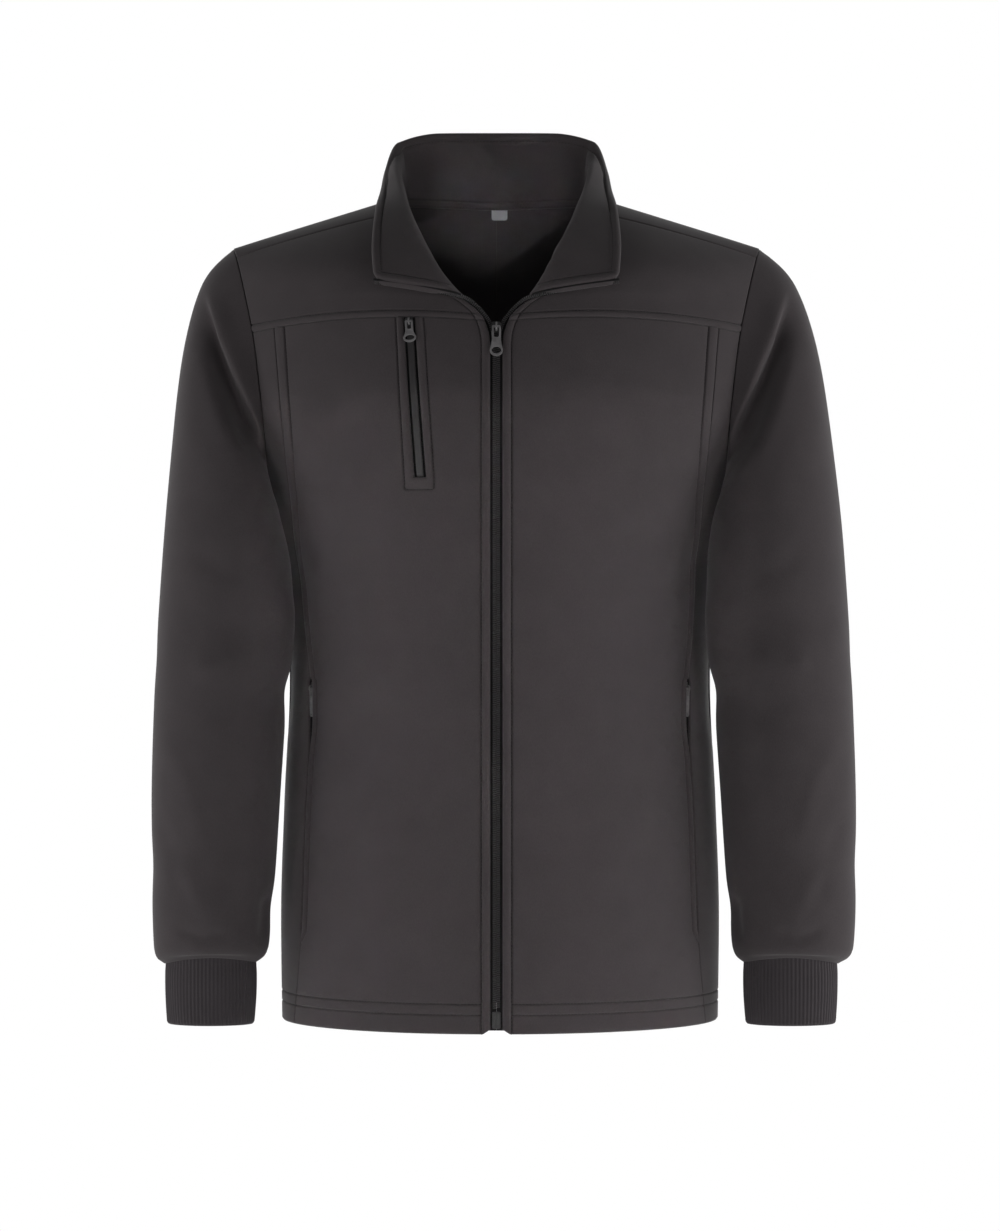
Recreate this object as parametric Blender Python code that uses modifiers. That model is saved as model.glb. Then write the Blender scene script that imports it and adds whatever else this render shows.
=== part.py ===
"""Charcoal fleece jacket with a front zip, filled out as worn and empty inside.

Metres, Z up, the front faces -Y, the wearer's right side is -X.
The origin is the middle of the neck at the height of the shoulder seams.
Tables and named sizes are in millimetres.
"""
import math
from collections import Counter, namedtuple

import bmesh
import bpy
import numpy as np
from mathutils import Matrix, Vector

MM = 0.001

# Cloth
CLOTH = 2.0
COLLAR_CLOTH = 3.0
CUFF_CLOTH = 2.0
SEAM = 0.3

# Body: distance of side seam or armhole from the centre, depth of centre front and centre back
TorsoRow = namedtuple("TorsoRow", "level side front back")
TORSO = [
    TorsoRow(-708, 188.5, 132.0, 121.0),
    TorsoRow(-620, 189.5, 132.0, 119.0),
    TorsoRow(-520, 186.5, 130.5, 115.0),
    TorsoRow(-416, 182.0, 130.0, 112.0),
    TorsoRow(-312, 185.0, 132.0, 117.0),
    TorsoRow(-248, 199.0, 134.0, 122.0),
    TorsoRow(-180, 207.0, 129.5, 122.5),
    TorsoRow(-119, 214.0, 116.8, 117.5),
    TorsoRow(-94, 218.5, 107.0, 113.0),
    TorsoRow(-43, 228.0, 90.0, 100.0),
]
HEM = -708.0
UNDERARM = -248.0
ARM_MIDDLE = -180.0
YOKE = -119.0
SHOULDER = -43.0
ARM_FRONT = 60.0
ARM_BACK = 72.0
CHEST_FRONT = 130.0
CHEST_BACK = 122.0
ARM_FRONT_PULL = -7.0
ARM_BACK_EASE = 2.0
YOKE_BOW = 6.0
BOW_FROM = -200.0
FRONT_LIFT = 5.5
BACK_LIFT = 11.0
SHOULDER_TURN = math.radians(25)

# Front edge: half of the gap between the two fronts, closed below and open to the neck
OpeningRow = namedtuple("OpeningRow", "height half_gap")
OPENING = [
    OpeningRow(-708, 5.0),
    OpeningRow(-135, 5.0),
    OpeningRow(-125, 6.0),
    OpeningRow(-115, 9.0),
    OpeningRow(-108.5, 12.5),
    OpeningRow(-104, 16.5),
    OpeningRow(-100.5, 20.5),
    OpeningRow(-97, 25.0),
    OpeningRow(-94, 30.0),
]
YOKE_EDGE = -113.5
NECK_FRONT_HEIGHT = -94.0
NECK_FRONT_SHARE = 0.2

# Seam between front panel and side panel
PrincessRow = namedtuple("PrincessRow", "level out")
PRINCESS = [
    PrincessRow(-708, 175.5),
    PrincessRow(-627, 168.5),
    PrincessRow(-530, 165.0),
    PrincessRow(-490, 162.8),
    PrincessRow(-450, 160.5),
    PrincessRow(-416, 161.0),
    PrincessRow(-381, 164.5),
    PrincessRow(-292, 172.0),
    PrincessRow(-236, 178.0),
    PrincessRow(-187, 182.5),
    PrincessRow(-119, 188.5),
]

# Hand pockets: how far the seam stands open
PocketRow = namedtuple("PocketRow", "level gap")
POCKET = [
    PocketRow(-708, SEAM),
    PocketRow(-632, SEAM),
    PocketRow(-626, 1.6),
    PocketRow(-476, 1.6),
    PocketRow(-452, 5.6),
    PocketRow(-415, 5.6),
    PocketRow(-412, SEAM),
    PocketRow(-119, SEAM),
]
POCKET_TOP = -415.0
POCKET_FOOT = -632.0
POCKET_TAPE_THICK = 1.0

# Chest pocket in the right front: slit edges from the centre
SLIT_FOOT = -245.0
SLIT_TOP_OUT = (68.5, 78.0)
SLIT_FOOT_OUT = (58.5, 68.5)
ChestZip = namedtuple("ChestZip", "foot half near far")
CHEST_TAPE = ChestZip(-6.0, 11.0, 2.7, 3.7)
CHEST_CHAIN = ChestZip(0.6, 2.8, 0.7, 2.4)

# Centre back above the shoulder blades, then the neckline
BackRow = namedtuple("BackRow", "share depth height")
BACK_RISE = [
    BackRow(0.0, 117.5, -108.0),
    BackRow(0.2, 109.0, -68.0),
    BackRow(0.4, 95.0, -30.0),
    BackRow(0.6, 73.0, 5.0),
]
NECK_BACK_SHARE = 0.6

# Collar sections from centre back to the front edge: seam, roll line, top edge
CollarRow = namedtuple("CollarRow", "station seam roll top")
COLLAR = [
    CollarRow(0.000, (0, 73, 5), (0, 71, 38), (0, 65, 66.5)),
    CollarRow(0.173, (50, 64, 6), (50, 62.5, 38), (51, 58, 65.3)),
    CollarRow(0.308, (80, 40, 4), (81.5, 43, 39), (86, 47, 54.5)),
    CollarRow(0.441, (89, 2, 1), (82, 14, 29), (95.5, 25, 24)),
    CollarRow(0.549, (87, -29, -10), (77.5, -19, 9), (98.7, -3, 6)),
    CollarRow(0.697, (78, -63, -34), (69, -59, -19), (103, -46, -15)),
    CollarRow(0.858, (58, -93, -66), (54, -95, -56), (105, -83, -48)),
    CollarRow(1.000, (30, -107, -94), (46, -115, -88), (102.5, -107, -79)),
]
NECK_POINT = 0.441
COLLAR_START = 0.009

# Sleeve sections: outer and inner line in front view, front and back depth
SleeveRow = namedtuple("SleeveRow", "outer_x outer_z inner_x inner_z front back skew")
SLEEVE = [
    SleeveRow(228.0, -43, 199.0, -248, -60.0, 72.0, 0.0),
    SleeveRow(256.0, -77, 200.5, -257, -64.0, 70.0, 14.0),
    SleeveRow(268.0, -118, 200.0, -266, -69.0, 66.0, 24.0),
    SleeveRow(275.0, -168, 197.0, -279, -76.0, 60.0, 30.0),
    SleeveRow(281.0, -235, 191.5, -300, -86.0, 49.0, 28.0),
    SleeveRow(286.5, -312, 183.0, -335, -94.0, 36.0, 18.0),
    SleeveRow(292.0, -416, 180.0, -420, -96.0, 18.0, 6.0),
    SleeveRow(294.5, -520, 185.0, -520, -93.0, 6.0, 2.0),
    SleeveRow(294.0, -600, 190.5, -600, -88.0, 2.0, 0.0),
    SleeveRow(292.5, -645, 195.0, -643.5, -80.0, -2.0, 0.0),
    SleeveRow(290.0, -652.5, 198.5, -651, -74.0, -8.0, 0.0),
    SleeveRow(285.0, -656.5, 203.5, -655, -68.5, -13.5, 0.0),
]
CAP_ROWS = 4.0
# The cap is puffed over the shoulder point: how far, around which row, over how many rows and what turn
CAP_PUFF = 2.4
PUFF_ROW = 0.42
PUFF_ROWS = 0.4
PUFF_TURN = 0.8
# Each sleeve is made in two stretches that meet above the elbow
SLEEVE_MEET = 5.5
SLEEVE_MEET_GAP = 0.0036

# The left sleeve hangs a little wider: how far its outer and inner line move out
SwingRow = namedtuple("SwingRow", "row outer inner")
SWING = [
    SwingRow(0, 0.0, 0.0),
    SwingRow(1, 3.5, 0.0),
    SwingRow(3, 8.5, 0.0),
    SwingRow(5, 12.0, 5.0),
    SwingRow(6, 12.0, 6.5),
    SwingRow(8, 13.0, 7.0),
    SwingRow(11, 8.5, 6.0),
]
# The body is a little wider on its left side below the chest
BODY_WIDER = 0.016
WIDER_FROM = -260.0
WIDER_FULL = -416.0

# Sleeve folds: place, direction from level, reach along and across, depth (in is negative)
FoldRow = namedtuple("FoldRow", "height around lean along across depth")
FOLDS = [
    FoldRow(-165, 95, -55, 60, 20, -5.0),
    FoldRow(-205, 62, -58, 60, 24, 3.0),
    FoldRow(-375, 125, -12, 50, 18, -4.0),
    FoldRow(-378, 150, 0, 22, 46, 14.0),
    FoldRow(-432, 135, 14, 55, 20, -4.5),
    FoldRow(-405, 300, 8, 50, 20, -3.5),
    FoldRow(-560, 45, 22, 45, 20, -3.0),
    FoldRow(-612, 165, 10, 32, 16, -2.5),
]
SLEEVE_RADIUS = 55.0
FOLDS_BEGIN = (0.3, 2.0)
FOLDS_END = (8.6, 9.6)

# Cuffs
CuffRow = namedtuple("CuffRow", "outer_x inner_x height front back")
CUFF = [
    CuffRow(282.7, 205.3, -648.0, -66.3, -15.7),
    CuffRow(281.0, 207.0, -708.5, -65.3, -16.7),
]
RIBS = 72
RIB_RISE = 0.4

# Zips
TAPE = (2.6, 3.6)
TAPE_UNDER = 8.0
CHAIN = (2.0, 4.85)
CHAIN_DEPTH = (0.4, 2.3)
TWIST_CLEAR = 2.4
ZIP_FOOT = -689.0
TAPE_FOOT = -705.0
BOX_SIZE = (7.0, 1.9, 14.0)

Slider = namedtuple("Slider", "width length plate bridge reach axis")
FRONT_SLIDER = Slider(7.8, 9.6, 1.3, 2.0, 3.9, 1.15)
CHEST_SLIDER = Slider(7.0, 7.4, 1.2, 1.8, 3.4, 1.15)
POCKET_SLIDER = Slider(4.4, 11.0, 1.1, 1.0, 3.2, 1.15)
BRIDGE_WALL = 1.1

# Pulls: straight above, flared to a ring with an oval hole below
Pull = namedtuple("Pull", "half slot slot_end flare ring ring_tall hole hole_tall length")
FRONT_PULL = Pull(3.8, 1.9, 9.4, 11.5, 5.4, 5.3, 3.9, 3.1, 26.7)
CHEST_PULL = Pull(3.3, 1.4, 6.8, 8.5, 5.4, 4.2, 3.9, 2.2, 18.8)
POCKET_PULL = Pull(2.0, 0.95, 6.4, 14.0, 2.1, 2.1, 0.9, 0.9, 24.0)
PULL_THICK = 1.2
BAR = 0.7
FRONT_PULL_HEIGHT = -119.4
CHEST_PULL_LEVEL = -123.2
POCKET_PULL_LEVEL = -422.0

LABEL_SIZE = (14.0, 13.0)
LABEL_MIDDLE = 2.6
LABEL_DROP = 2.0
LABEL_DEPTH = (0.5, 1.5)

# Mesh steps
FRONT_STEPS = 4
FRONT_ROW_STEPS = (1, 1, 3, 1, 1, 1, 4)
SIDE_STEPS = 4
BACK_STEPS = 8
ARM_STEPS = 7
YOKE_SHARES = (0.0, 0.1, 0.2, 0.36, 0.52, 0.68, 0.84, 1.0)
BACK_SHARES = (0.0, 0.2, 0.4, 0.6, 0.7, 0.8, 0.9, 1.0)
LAST_SHARE = 0.996


def clear_scene():
    for item in list(bpy.data.objects):
        bpy.data.objects.remove(item, do_unlink=True)


def material(name, colour, roughness, metallic=0.0):
    made = bpy.data.materials.new(name)
    made.use_nodes = True
    shader = made.node_tree.nodes["Principled BSDF"]
    shader.inputs["Base Color"].default_value = (*colour, 1.0)
    shader.inputs["Roughness"].default_value = roughness
    shader.inputs["Metallic"].default_value = metallic
    return made


def smooth(keys, values, at):
    """A curve through a table column that never swings past its rows."""
    keys = np.asarray(keys, float)
    values = np.asarray(values, float)
    at = np.asarray(at, float)
    step = np.diff(keys)
    slope = np.diff(values) / step
    tangent = np.concatenate([slope[:1], np.zeros(len(keys) - 2), slope[-1:]])
    for k in range(1, len(keys) - 1):
        if slope[k - 1] * slope[k] > 0:
            before = (2 * step[k] + step[k - 1]) / slope[k - 1]
            after = (step[k] + 2 * step[k - 1]) / slope[k]
            tangent[k] = 3 * (step[k - 1] + step[k]) / (before + after)
    k = np.clip(np.searchsorted(keys, at, "right") - 1, 0, len(keys) - 2)
    u = np.clip((at - keys[k]) / step[k], 0, 1)
    flat = u * u * (3 - 2 * u)
    rise = step[k] * u * (1 - u)
    return values[k] * (1 - flat) + values[k + 1] * flat + rise * (tangent[k] * (1 - u) - tangent[k + 1] * u)


def column(table, name, at, key="level"):
    return smooth([getattr(row, key) for row in table], [getattr(row, name) for row in table], at)


def ease(low, high, at):
    u = np.clip((at - low) / (high - low), 0, 1)
    return u * u * (3 - 2 * u)


def points(*axes):
    return np.stack(np.broadcast_arrays(*axes), axis=-1)


def unit(vectors):
    return vectors / np.linalg.norm(vectors, axis=-1, keepdims=True)


def arm_angle(level):
    """Angle round the armhole, -90 degrees at the underarm and 90 at the shoulder point."""
    rise = np.asarray(level, float) - ARM_MIDDLE
    reach = np.where(rise < 0, ARM_MIDDLE - UNDERARM, SHOULDER - ARM_MIDDLE)
    return np.arcsin(np.clip(rise / reach, -1, 1))


YOKE_ANGLE = float(arm_angle(YOKE))


def yoke_share(level):
    """0 at the yoke seam, 1 at the shoulder seam."""
    return np.clip((arm_angle(level) - YOKE_ANGLE) / (math.pi / 2 - YOKE_ANGLE), 0, 1)


def yoke_level(share):
    return ARM_MIDDLE + (SHOULDER - ARM_MIDDLE) * math.sin(YOKE_ANGLE + share * (math.pi / 2 - YOKE_ANGLE))


def armhole(level, front):
    open_share = np.cos(arm_angle(level))
    pull = ARM_FRONT_PULL if front else ARM_BACK_EASE
    reach = -ARM_FRONT if front else ARM_BACK
    return points(column(TORSO, "side", level) + pull * open_share, reach * open_share, level)


def collar_line(name, station):
    """Neck seam, roll line or top edge; a negative station is the wearer's right side."""
    stations = [-row.station for row in COLLAR[:0:-1]] + [row.station for row in COLLAR]
    right = [(-x, y, z) for x, y, z in (getattr(row, name) for row in COLLAR[:0:-1])]
    places = np.array(right + [getattr(row, name) for row in COLLAR], float)
    return points(*(smooth(stations, places[:, axis], station) for axis in range(3)))


def front_edge(level):
    share = yoke_share(level)
    below = level + FRONT_LIFT * ease(ARM_MIDDLE, YOKE, level)
    above = YOKE_EDGE + (NECK_FRONT_HEIGHT - YOKE_EDGE) * np.clip(share / NECK_FRONT_SHARE, 0, 1)
    height = np.where(share > 0, above, below)
    edge = points(column(OPENING, "half_gap", height, "height"), -column(TORSO, "front", height), height)
    along = np.clip((share - NECK_FRONT_SHARE) / (1 - NECK_FRONT_SHARE), 0, 1)
    neckline = collar_line("seam", 1 - along * (1 - NECK_POINT))
    return np.where((share > NECK_FRONT_SHARE)[..., None], neckline, edge)


def centre_back(level):
    share = yoke_share(level)
    below = level + BACK_LIFT * ease(ARM_MIDDLE, YOKE, level)
    height = np.where(share > 0, column(BACK_RISE, "height", share, "share"), below)
    depth = np.where(share > 0, column(BACK_RISE, "depth", share, "share"), column(TORSO, "back", level))
    along = np.clip((share - NECK_BACK_SHARE) / (1 - NECK_BACK_SHARE), 0, 1)
    neckline = collar_line("seam", along * NECK_POINT)
    return np.where((share > NECK_BACK_SHARE)[..., None], neckline, points(0 * depth, depth, height))


def row_turn(level, front):
    cut = ARM_FRONT / CHEST_FRONT if front else ARM_BACK / CHEST_BACK
    share = yoke_share(level)
    angle = np.minimum(arm_angle(level), YOKE_ANGLE)
    return np.arccos(cut * np.cos(angle)) * (1 - share) + SHOULDER_TURN * share


def body(across, level, front=True):
    """Outer face of the left half: 0 at centre front or back, 1 at side seam, armhole and shoulder point."""
    across, level = np.broadcast_arrays(np.asarray(across, float), np.asarray(level, float))
    start = front_edge(level) if front else centre_back(level)
    finish = armhole(level, front)
    turn = row_turn(level, front)
    sideways = np.sin(across * turn) / np.sin(turn)
    round_ = (1 - np.cos(across * turn)) / (1 - np.cos(turn))
    share = points(sideways, round_, sideways)
    place = start + (finish - start) * share
    if front:
        bow = YOKE_BOW * ease(BOW_FROM, YOKE, level) * (1 - yoke_share(level))
        place[..., 2] += bow * 4 * sideways * (1 - sideways)
    return place


def body_frame(across, level, front=True):
    """Place, direction towards the side, direction up and outward normal."""
    d = 1e-3
    low, high = np.clip(across - d, 0, 1), np.clip(across + d, 0, 1)
    side = unit(body(high, level, front) - body(low, level, front))
    up = unit(body(across, np.minimum(level + 0.5, SHOULDER), front) - body(across, level - 0.5, front))
    out = np.cross(side, up) if front else np.cross(up, side)
    return body(across, level, front), side, up, unit(out)


def across_of(level, out, front=True):
    """Row position of a distance from the centre."""
    start, finish = front_edge(level)[..., 0], armhole(level, front)[..., 0]
    turn = row_turn(level, front)
    return np.arcsin(np.clip((out - start) / (finish - start) * np.sin(turn), 0, 1)) / turn


def princess(level):
    return across_of(level, column(PRINCESS, "out", level))


def pocket_half(level):
    keys = [row.level for row in POCKET]
    return np.interp(level, keys, [row.gap / 2 for row in POCKET])


def slit(level, edge):
    """Row position of one edge of the chest slit."""
    share = np.clip((level - SLIT_FOOT) / (YOKE - SLIT_FOOT), 0, 1)
    out = SLIT_FOOT_OUT[edge] + (SLIT_TOP_OUT[edge] - SLIT_FOOT_OUT[edge]) * share
    foot = across_of(np.array(SLIT_FOOT), SLIT_FOOT_OUT[edge]) / princess(np.array(SLIT_FOOT))
    return np.where(level >= SLIT_FOOT, across_of(level, out), foot * princess(level))


def row_length(level, front=True):
    start = front_edge(level) if front else centre_back(level)
    return np.linalg.norm(armhole(level, front) - start, axis=-1)


def sleeve_ring(row, around):
    rows = range(len(SLEEVE))
    value = {}
    for name in SleeveRow._fields:
        value[name] = smooth(rows, [getattr(section, name) for section in SLEEVE], row)
    lean = np.cos(around) / 2
    x = (value["outer_x"] + value["inner_x"]) / 2 + (value["outer_x"] - value["inner_x"]) * lean
    x = x - value["skew"] * np.sin(around) * (0.5 - lean)
    z = (value["outer_z"] + value["inner_z"]) / 2 + (value["outer_z"] - value["inner_z"]) * lean
    y = (value["front"] + value["back"]) / 2 - (value["back"] - value["front"]) / 2 * np.sin(around)
    return points(x, y, z)


def sleeve_folds(place, around):
    """How far the folds move points of the sleeve outward."""
    depth = np.zeros(place.shape[:-1])
    for fold in FOLDS:
        lean = math.radians(fold.lean)
        turn = (around - math.radians(fold.around) + math.pi) % (2 * math.pi) - math.pi
        sideways, rise = SLEEVE_RADIUS * turn, place[..., 2] - fold.height
        along = sideways * math.cos(lean) + rise * math.sin(lean)
        across = rise * math.cos(lean) - sideways * math.sin(lean)
        depth += fold.depth * np.exp(-(along / fold.along) ** 2 - (across / fold.across) ** 2)
    return depth


def sleeve(row, around, side):
    """Outer face of a sleeve; around is 0 on the outer line, 90 degrees in front, 180 on the inner line."""
    row, around = np.broadcast_arrays(np.asarray(row, float), np.asarray(around, float))
    rise = np.cos(around)
    level = ARM_MIDDLE + np.where(rise > 0, SHOULDER - ARM_MIDDLE, ARM_MIDDLE - UNDERARM) * rise
    hole = np.where((np.sin(around) >= 0)[..., None], armhole(level, True), armhole(level, False))
    away = (hole - sleeve_ring(0 * row, around)) * (1 - ease(0, CAP_ROWS, row))[..., None]
    place = sleeve_ring(row, around) + away
    place[..., 0] += SEAM * 2 * (1 - ease(0, 1, row))
    turn = (around + math.pi) % (2 * math.pi) - math.pi
    puff = np.exp(-((row - PUFF_ROW) / PUFF_ROWS) ** 2 - (turn / PUFF_TURN) ** 2)
    place[..., 0] += CAP_PUFF * puff * ease(0, 0.2, row)
    if side > 0:
        outer, inner = column(SWING, "outer", row, "row"), column(SWING, "inner", row, "row")
        place[..., 0] += inner + (outer - inner) * (1 + rise) / 2
    hold = ease(*FOLDS_BEGIN, row) * (1 - ease(*FOLDS_END, row))
    middle = (sleeve_ring(row, 0 * around) + sleeve_ring(row, 0 * around + math.pi)) / 2
    outward = unit((place - middle) * np.array([1.0, 1.0, 0.0]))
    return place + outward * (sleeve_folds(place, around) * hold)[..., None]


def sleeve_normal(row, around, side):
    d = 1e-3
    last = len(SLEEVE) - 1
    down = sleeve(np.minimum(row + d, last), around, side) - sleeve(np.maximum(row - d, 0), around, side)
    round_ = sleeve(row, around + d, side) - sleeve(row, around - d, side)
    return unit(np.cross(round_, down))


def collar(station, rise):
    """Outer face of the collar: 0 at the neck seam, 1 at the top edge."""
    station, rise = np.broadcast_arrays(np.asarray(station, float), np.asarray(rise, float))
    seam, roll, top = (collar_line(name, station) for name in ("seam", "roll", "top"))
    pull = 2 * roll - (seam + top) / 2
    v = rise[..., None]
    return seam * (1 - v) ** 2 + 2 * v * (1 - v) * pull + top * v ** 2


def collar_inward(station, rise):
    d = 1e-3
    round_ = collar(np.minimum(station + d, 1), rise) - collar(np.maximum(station - d, -1), rise)
    return unit(np.cross(round_, collar(station, rise + d) - collar(station, rise - d)))


def mesh_object(name, vertices, faces, look):
    mesh = bpy.data.meshes.new(name)
    mesh.from_pydata([tuple(v * MM) for v in vertices], [], faces)
    shape = bmesh.new()
    shape.from_mesh(mesh)
    bmesh.ops.recalc_face_normals(shape, faces=shape.faces)
    shape.to_mesh(mesh)
    shape.free()
    mesh.shade_smooth()
    return add_object(name, mesh, look)


def add_object(name, data, look):
    made = bpy.data.objects.new(name, data)
    data.materials.append(look)
    PARTS.objects.link(made)
    return made


def wall(name, patches, look):
    """Closed wall between an outer and an inner grid of points, with a rim along every free edge."""
    place_of, outer, inner, faces = {}, [], [], []

    def index(outside, inside):
        key = tuple(np.round(outside, 3))
        if key not in place_of:
            place_of[key] = len(outer)
            outer.append(outside)
            inner.append(inside)
        return place_of[key]

    for outside, inside, kept in patches:
        rows, columns = outside.shape[:2]
        ids = [[index(outside[r, c], inside[r, c]) for c in range(columns)] for r in range(rows)]
        for r in range(rows - 1):
            for c in range(columns - 1):
                if kept is None or kept(r, c):
                    faces.append((ids[r][c], ids[r][c + 1], ids[r + 1][c + 1], ids[r + 1][c]))
    count = len(outer)
    edges = [(a, b) for face in faces for a, b in zip(face, face[1:] + face[:1])]
    used = Counter(frozenset(edge) for edge in edges)
    closed = list(faces) + [tuple(i + count for i in face[::-1]) for face in faces]
    closed += [(b, a, a + count, b + count) for a, b in edges if used[frozenset((a, b))] == 1]
    return mesh_object(name, outer + inner, closed, look)


def strip(name, places, across, out, section, look):
    """Length of one section: each corner is a distance across and a depth behind the outer face."""
    rings = [places + across * a - out * depth for a, depth in section]
    vertices = np.stack(rings, axis=1).reshape(-1, 3)
    sides, rows = len(section), len(places)
    faces = [tuple(range(sides)), tuple(range((rows - 1) * sides, rows * sides))[::-1]]
    for r in range(rows - 1):
        for k in range(sides):
            after = (k + 1) % sides
            faces.append((r * sides + k, r * sides + after, (r + 1) * sides + after, (r + 1) * sides + k))
    return mesh_object(name, vertices, faces, look)


def mirrored(grid, side):
    return grid * np.array([side, 1.0, 1.0])


def on_side(grid, side):
    """Points of the left half of the body moved to either side."""
    place = mirrored(grid, side)
    place[..., 0] *= 1 + side * BODY_WIDER * (1 - ease(WIDER_FULL, WIDER_FROM, place[..., 2]))
    return place


def panel(across, level, front, side, thickness=CLOTH):
    place, _, _, out = body_frame(across, level, front)
    return on_side(place, side), on_side(place - out * thickness, side)


def levels(*stretches):
    """Row levels from (first, last, steps) stretches, each last being the next first."""
    found = [stretches[0][0]]
    for first, last, steps in stretches:
        found += list(np.linspace(first, last, steps + 1)[1:])
    return np.array(found)


def armhole_levels(low, high, steps):
    angles = np.linspace(float(arm_angle(low)), float(arm_angle(high)), steps + 1)
    reach = np.where(angles < 0, ARM_MIDDLE - UNDERARM, SHOULDER - ARM_MIDDLE)
    return ARM_MIDDLE + reach * np.sin(angles)


def front_levels():
    corners = [row.level for row in POCKET[:-1]] + [UNDERARM]
    low = levels(*zip(corners, corners[1:], FRONT_ROW_STEPS))
    return np.concatenate([low, armhole_levels(UNDERARM, YOKE, ARM_STEPS)[1:]])


def share_levels(shares):
    return np.array([yoke_level(min(share, LAST_SHARE)) for share in shares])


def build_fronts(look):
    rows = front_levels()
    rows = np.sort(np.append(rows[np.abs(rows - SLIT_FOOT) > 1.5], SLIT_FOOT))
    rows[-1] -= SEAM / 2
    length = row_length(rows)
    seam = princess(rows) - pocket_half(rows) / length
    inner, outer = slit(rows, 0), slit(rows, 1)
    columns = [0 * seam, inner / 2, inner, outer]
    columns += [outer + (seam - outer) * k / FRONT_STEPS for k in range(1, FRONT_STEPS + 1)]
    across = np.stack(columns, axis=1)
    level = np.repeat(rows[:, None], across.shape[1], axis=1)
    for side, name in ((-1, "front_right"), (1, "front_left")):
        cloth = panel(across, level, True, side)
        kept = (lambda r, c: c != 2 or rows[r] < SLIT_FOOT - 0.1) if side < 0 else None
        wall(name, [(*cloth, kept)], look)


def build_sides(look):
    rows = front_levels()
    rows[-1] -= SEAM / 2
    length = row_length(rows)
    first = princess(rows) + pocket_half(rows) / length
    last = 1 - SEAM / 2 / length
    share = np.linspace(0, 1, SIDE_STEPS + 1)
    across = first[:, None] + (last - first)[:, None] * share
    level = np.repeat(rows[:, None], len(share), axis=1)
    for side, name in ((-1, "side_right"), (1, "side_left")):
        wall(name, [(*panel(across, level, True, side), None)], look)


def build_yokes(look):
    rows = share_levels(YOKE_SHARES)
    rows[0] += SEAM / 2
    inset = SEAM / 2 / row_length(rows)
    share = np.linspace(0, 1, 9)
    across = inset[:, None] + (1 - 2 * inset)[:, None] * share
    level = np.repeat(rows[:, None], len(share), axis=1)
    for side, name in ((-1, "yoke_right"), (1, "yoke_left")):
        wall(name, [(*panel(across, level, True, side), None)], look)


def build_back(look):
    low = np.concatenate([levels((HEM, UNDERARM, 8)), armhole_levels(UNDERARM, YOKE, ARM_STEPS)[1:]])
    rows = np.concatenate([low, share_levels(BACK_SHARES[1:])])
    inset = SEAM / 2 / row_length(rows, False)
    start = np.where(yoke_share(rows) > NECK_BACK_SHARE + 1e-6, inset, 0)
    share = np.linspace(0, 1, BACK_STEPS + 1)
    across = start[:, None] + (1 - inset - start)[:, None] * share
    level = np.repeat(rows[:, None], len(share), axis=1)
    wall("back", [(*panel(across, level, False, side), None) for side in (-1, 1)], look)


def build_collar(look):
    fronts = np.linspace(NECK_POINT, 1, 9)
    round_neck = np.linspace(-NECK_POINT, NECK_POINT, 13)[1:-1]
    stations = np.concatenate([-fronts[::-1], round_neck, fronts])
    rises = np.linspace(COLLAR_START, 1, 9)
    station, rise = np.meshgrid(stations, rises)
    face = collar(station, rise)
    wall("collar", [(face, face + collar_inward(station, rise) * COLLAR_CLOTH, None)], look)


def sleeve_angles():
    """Angles round a sleeve that meet the rows of the front, yoke and back at the armhole."""
    low = np.linspace(-math.pi / 2, YOKE_ANGLE, ARM_STEPS + 1)
    front = [YOKE_ANGLE + share * (math.pi / 2 - YOKE_ANGLE) for share in YOKE_SHARES[1:]]
    back = [YOKE_ANGLE + share * (math.pi / 2 - YOKE_ANGLE) for share in BACK_SHARES[1:]]
    ahead = math.pi / 2 - np.concatenate([low, front])[::-1]
    behind = 1.5 * math.pi + np.concatenate([low, back])
    return np.concatenate([ahead, behind[1:]])


def build_sleeves(look):
    above, below = SLEEVE_MEET - SLEEVE_MEET_GAP / 2, SLEEVE_MEET + SLEEVE_MEET_GAP / 2
    stretches = {
        "sleeve_upper_": np.concatenate([np.linspace(0.01, 4, 11), np.linspace(4, above, 5)[1:]]),
        "sleeve_lower_": np.concatenate([np.linspace(below, 9, 11), [9.5, 10.2, 11]]),
    }
    around = sleeve_angles()
    for part, rows in stretches.items():
        turn, row = np.meshgrid(around, rows)
        for side, word in ((-1, "right"), (1, "left")):
            place = sleeve(row, turn, side)
            out = sleeve_normal(row, turn, side)
            place[:, -1], out[:, -1] = place[:, 0], out[:, 0]
            inside = place - out * CLOTH
            wall(part + word, [(mirrored(place, side), mirrored(inside, side), None)], look)


def build_cuffs(look):
    steps = RIBS * 2
    around = np.linspace(0, 2 * math.pi, steps + 1)
    rib = np.where(np.arange(steps + 1) % 2 == 0, RIB_RISE / 2, -RIB_RISE / 2)
    for side, name in ((-1, "cuff_right"), (1, "cuff_left")):
        faces = []
        for grow in (rib, 0 * rib - CUFF_CLOTH):
            rings = []
            for row in CUFF:
                outer_x = row.outer_x + (SWING[-1].outer if side > 0 else 0)
                inner_x = row.inner_x + (SWING[-1].inner if side > 0 else 0)
                x = (outer_x + inner_x) / 2
                half_x, half_y = (outer_x - inner_x) / 2, (row.back - row.front) / 2
                y = (row.front + row.back) / 2 - (half_y + grow) * np.sin(around)
                rings.append(points(x + (half_x + grow) * np.cos(around), y, 0 * around + row.height))
            grid = np.stack(rings)
            grid[:, -1] = grid[:, 0]
            faces.append(mirrored(grid, side))
        wall(name, [(faces[0], faces[1], None)], look)


def edge_line(places, inward):
    """Direction past a free edge, square to the edge, and the outward normal there."""
    along = unit(np.gradient(places, axis=0))
    past = unit(inward - along * np.sum(inward * along, axis=-1, keepdims=True))
    return past, np.cross(along, past)


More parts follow.
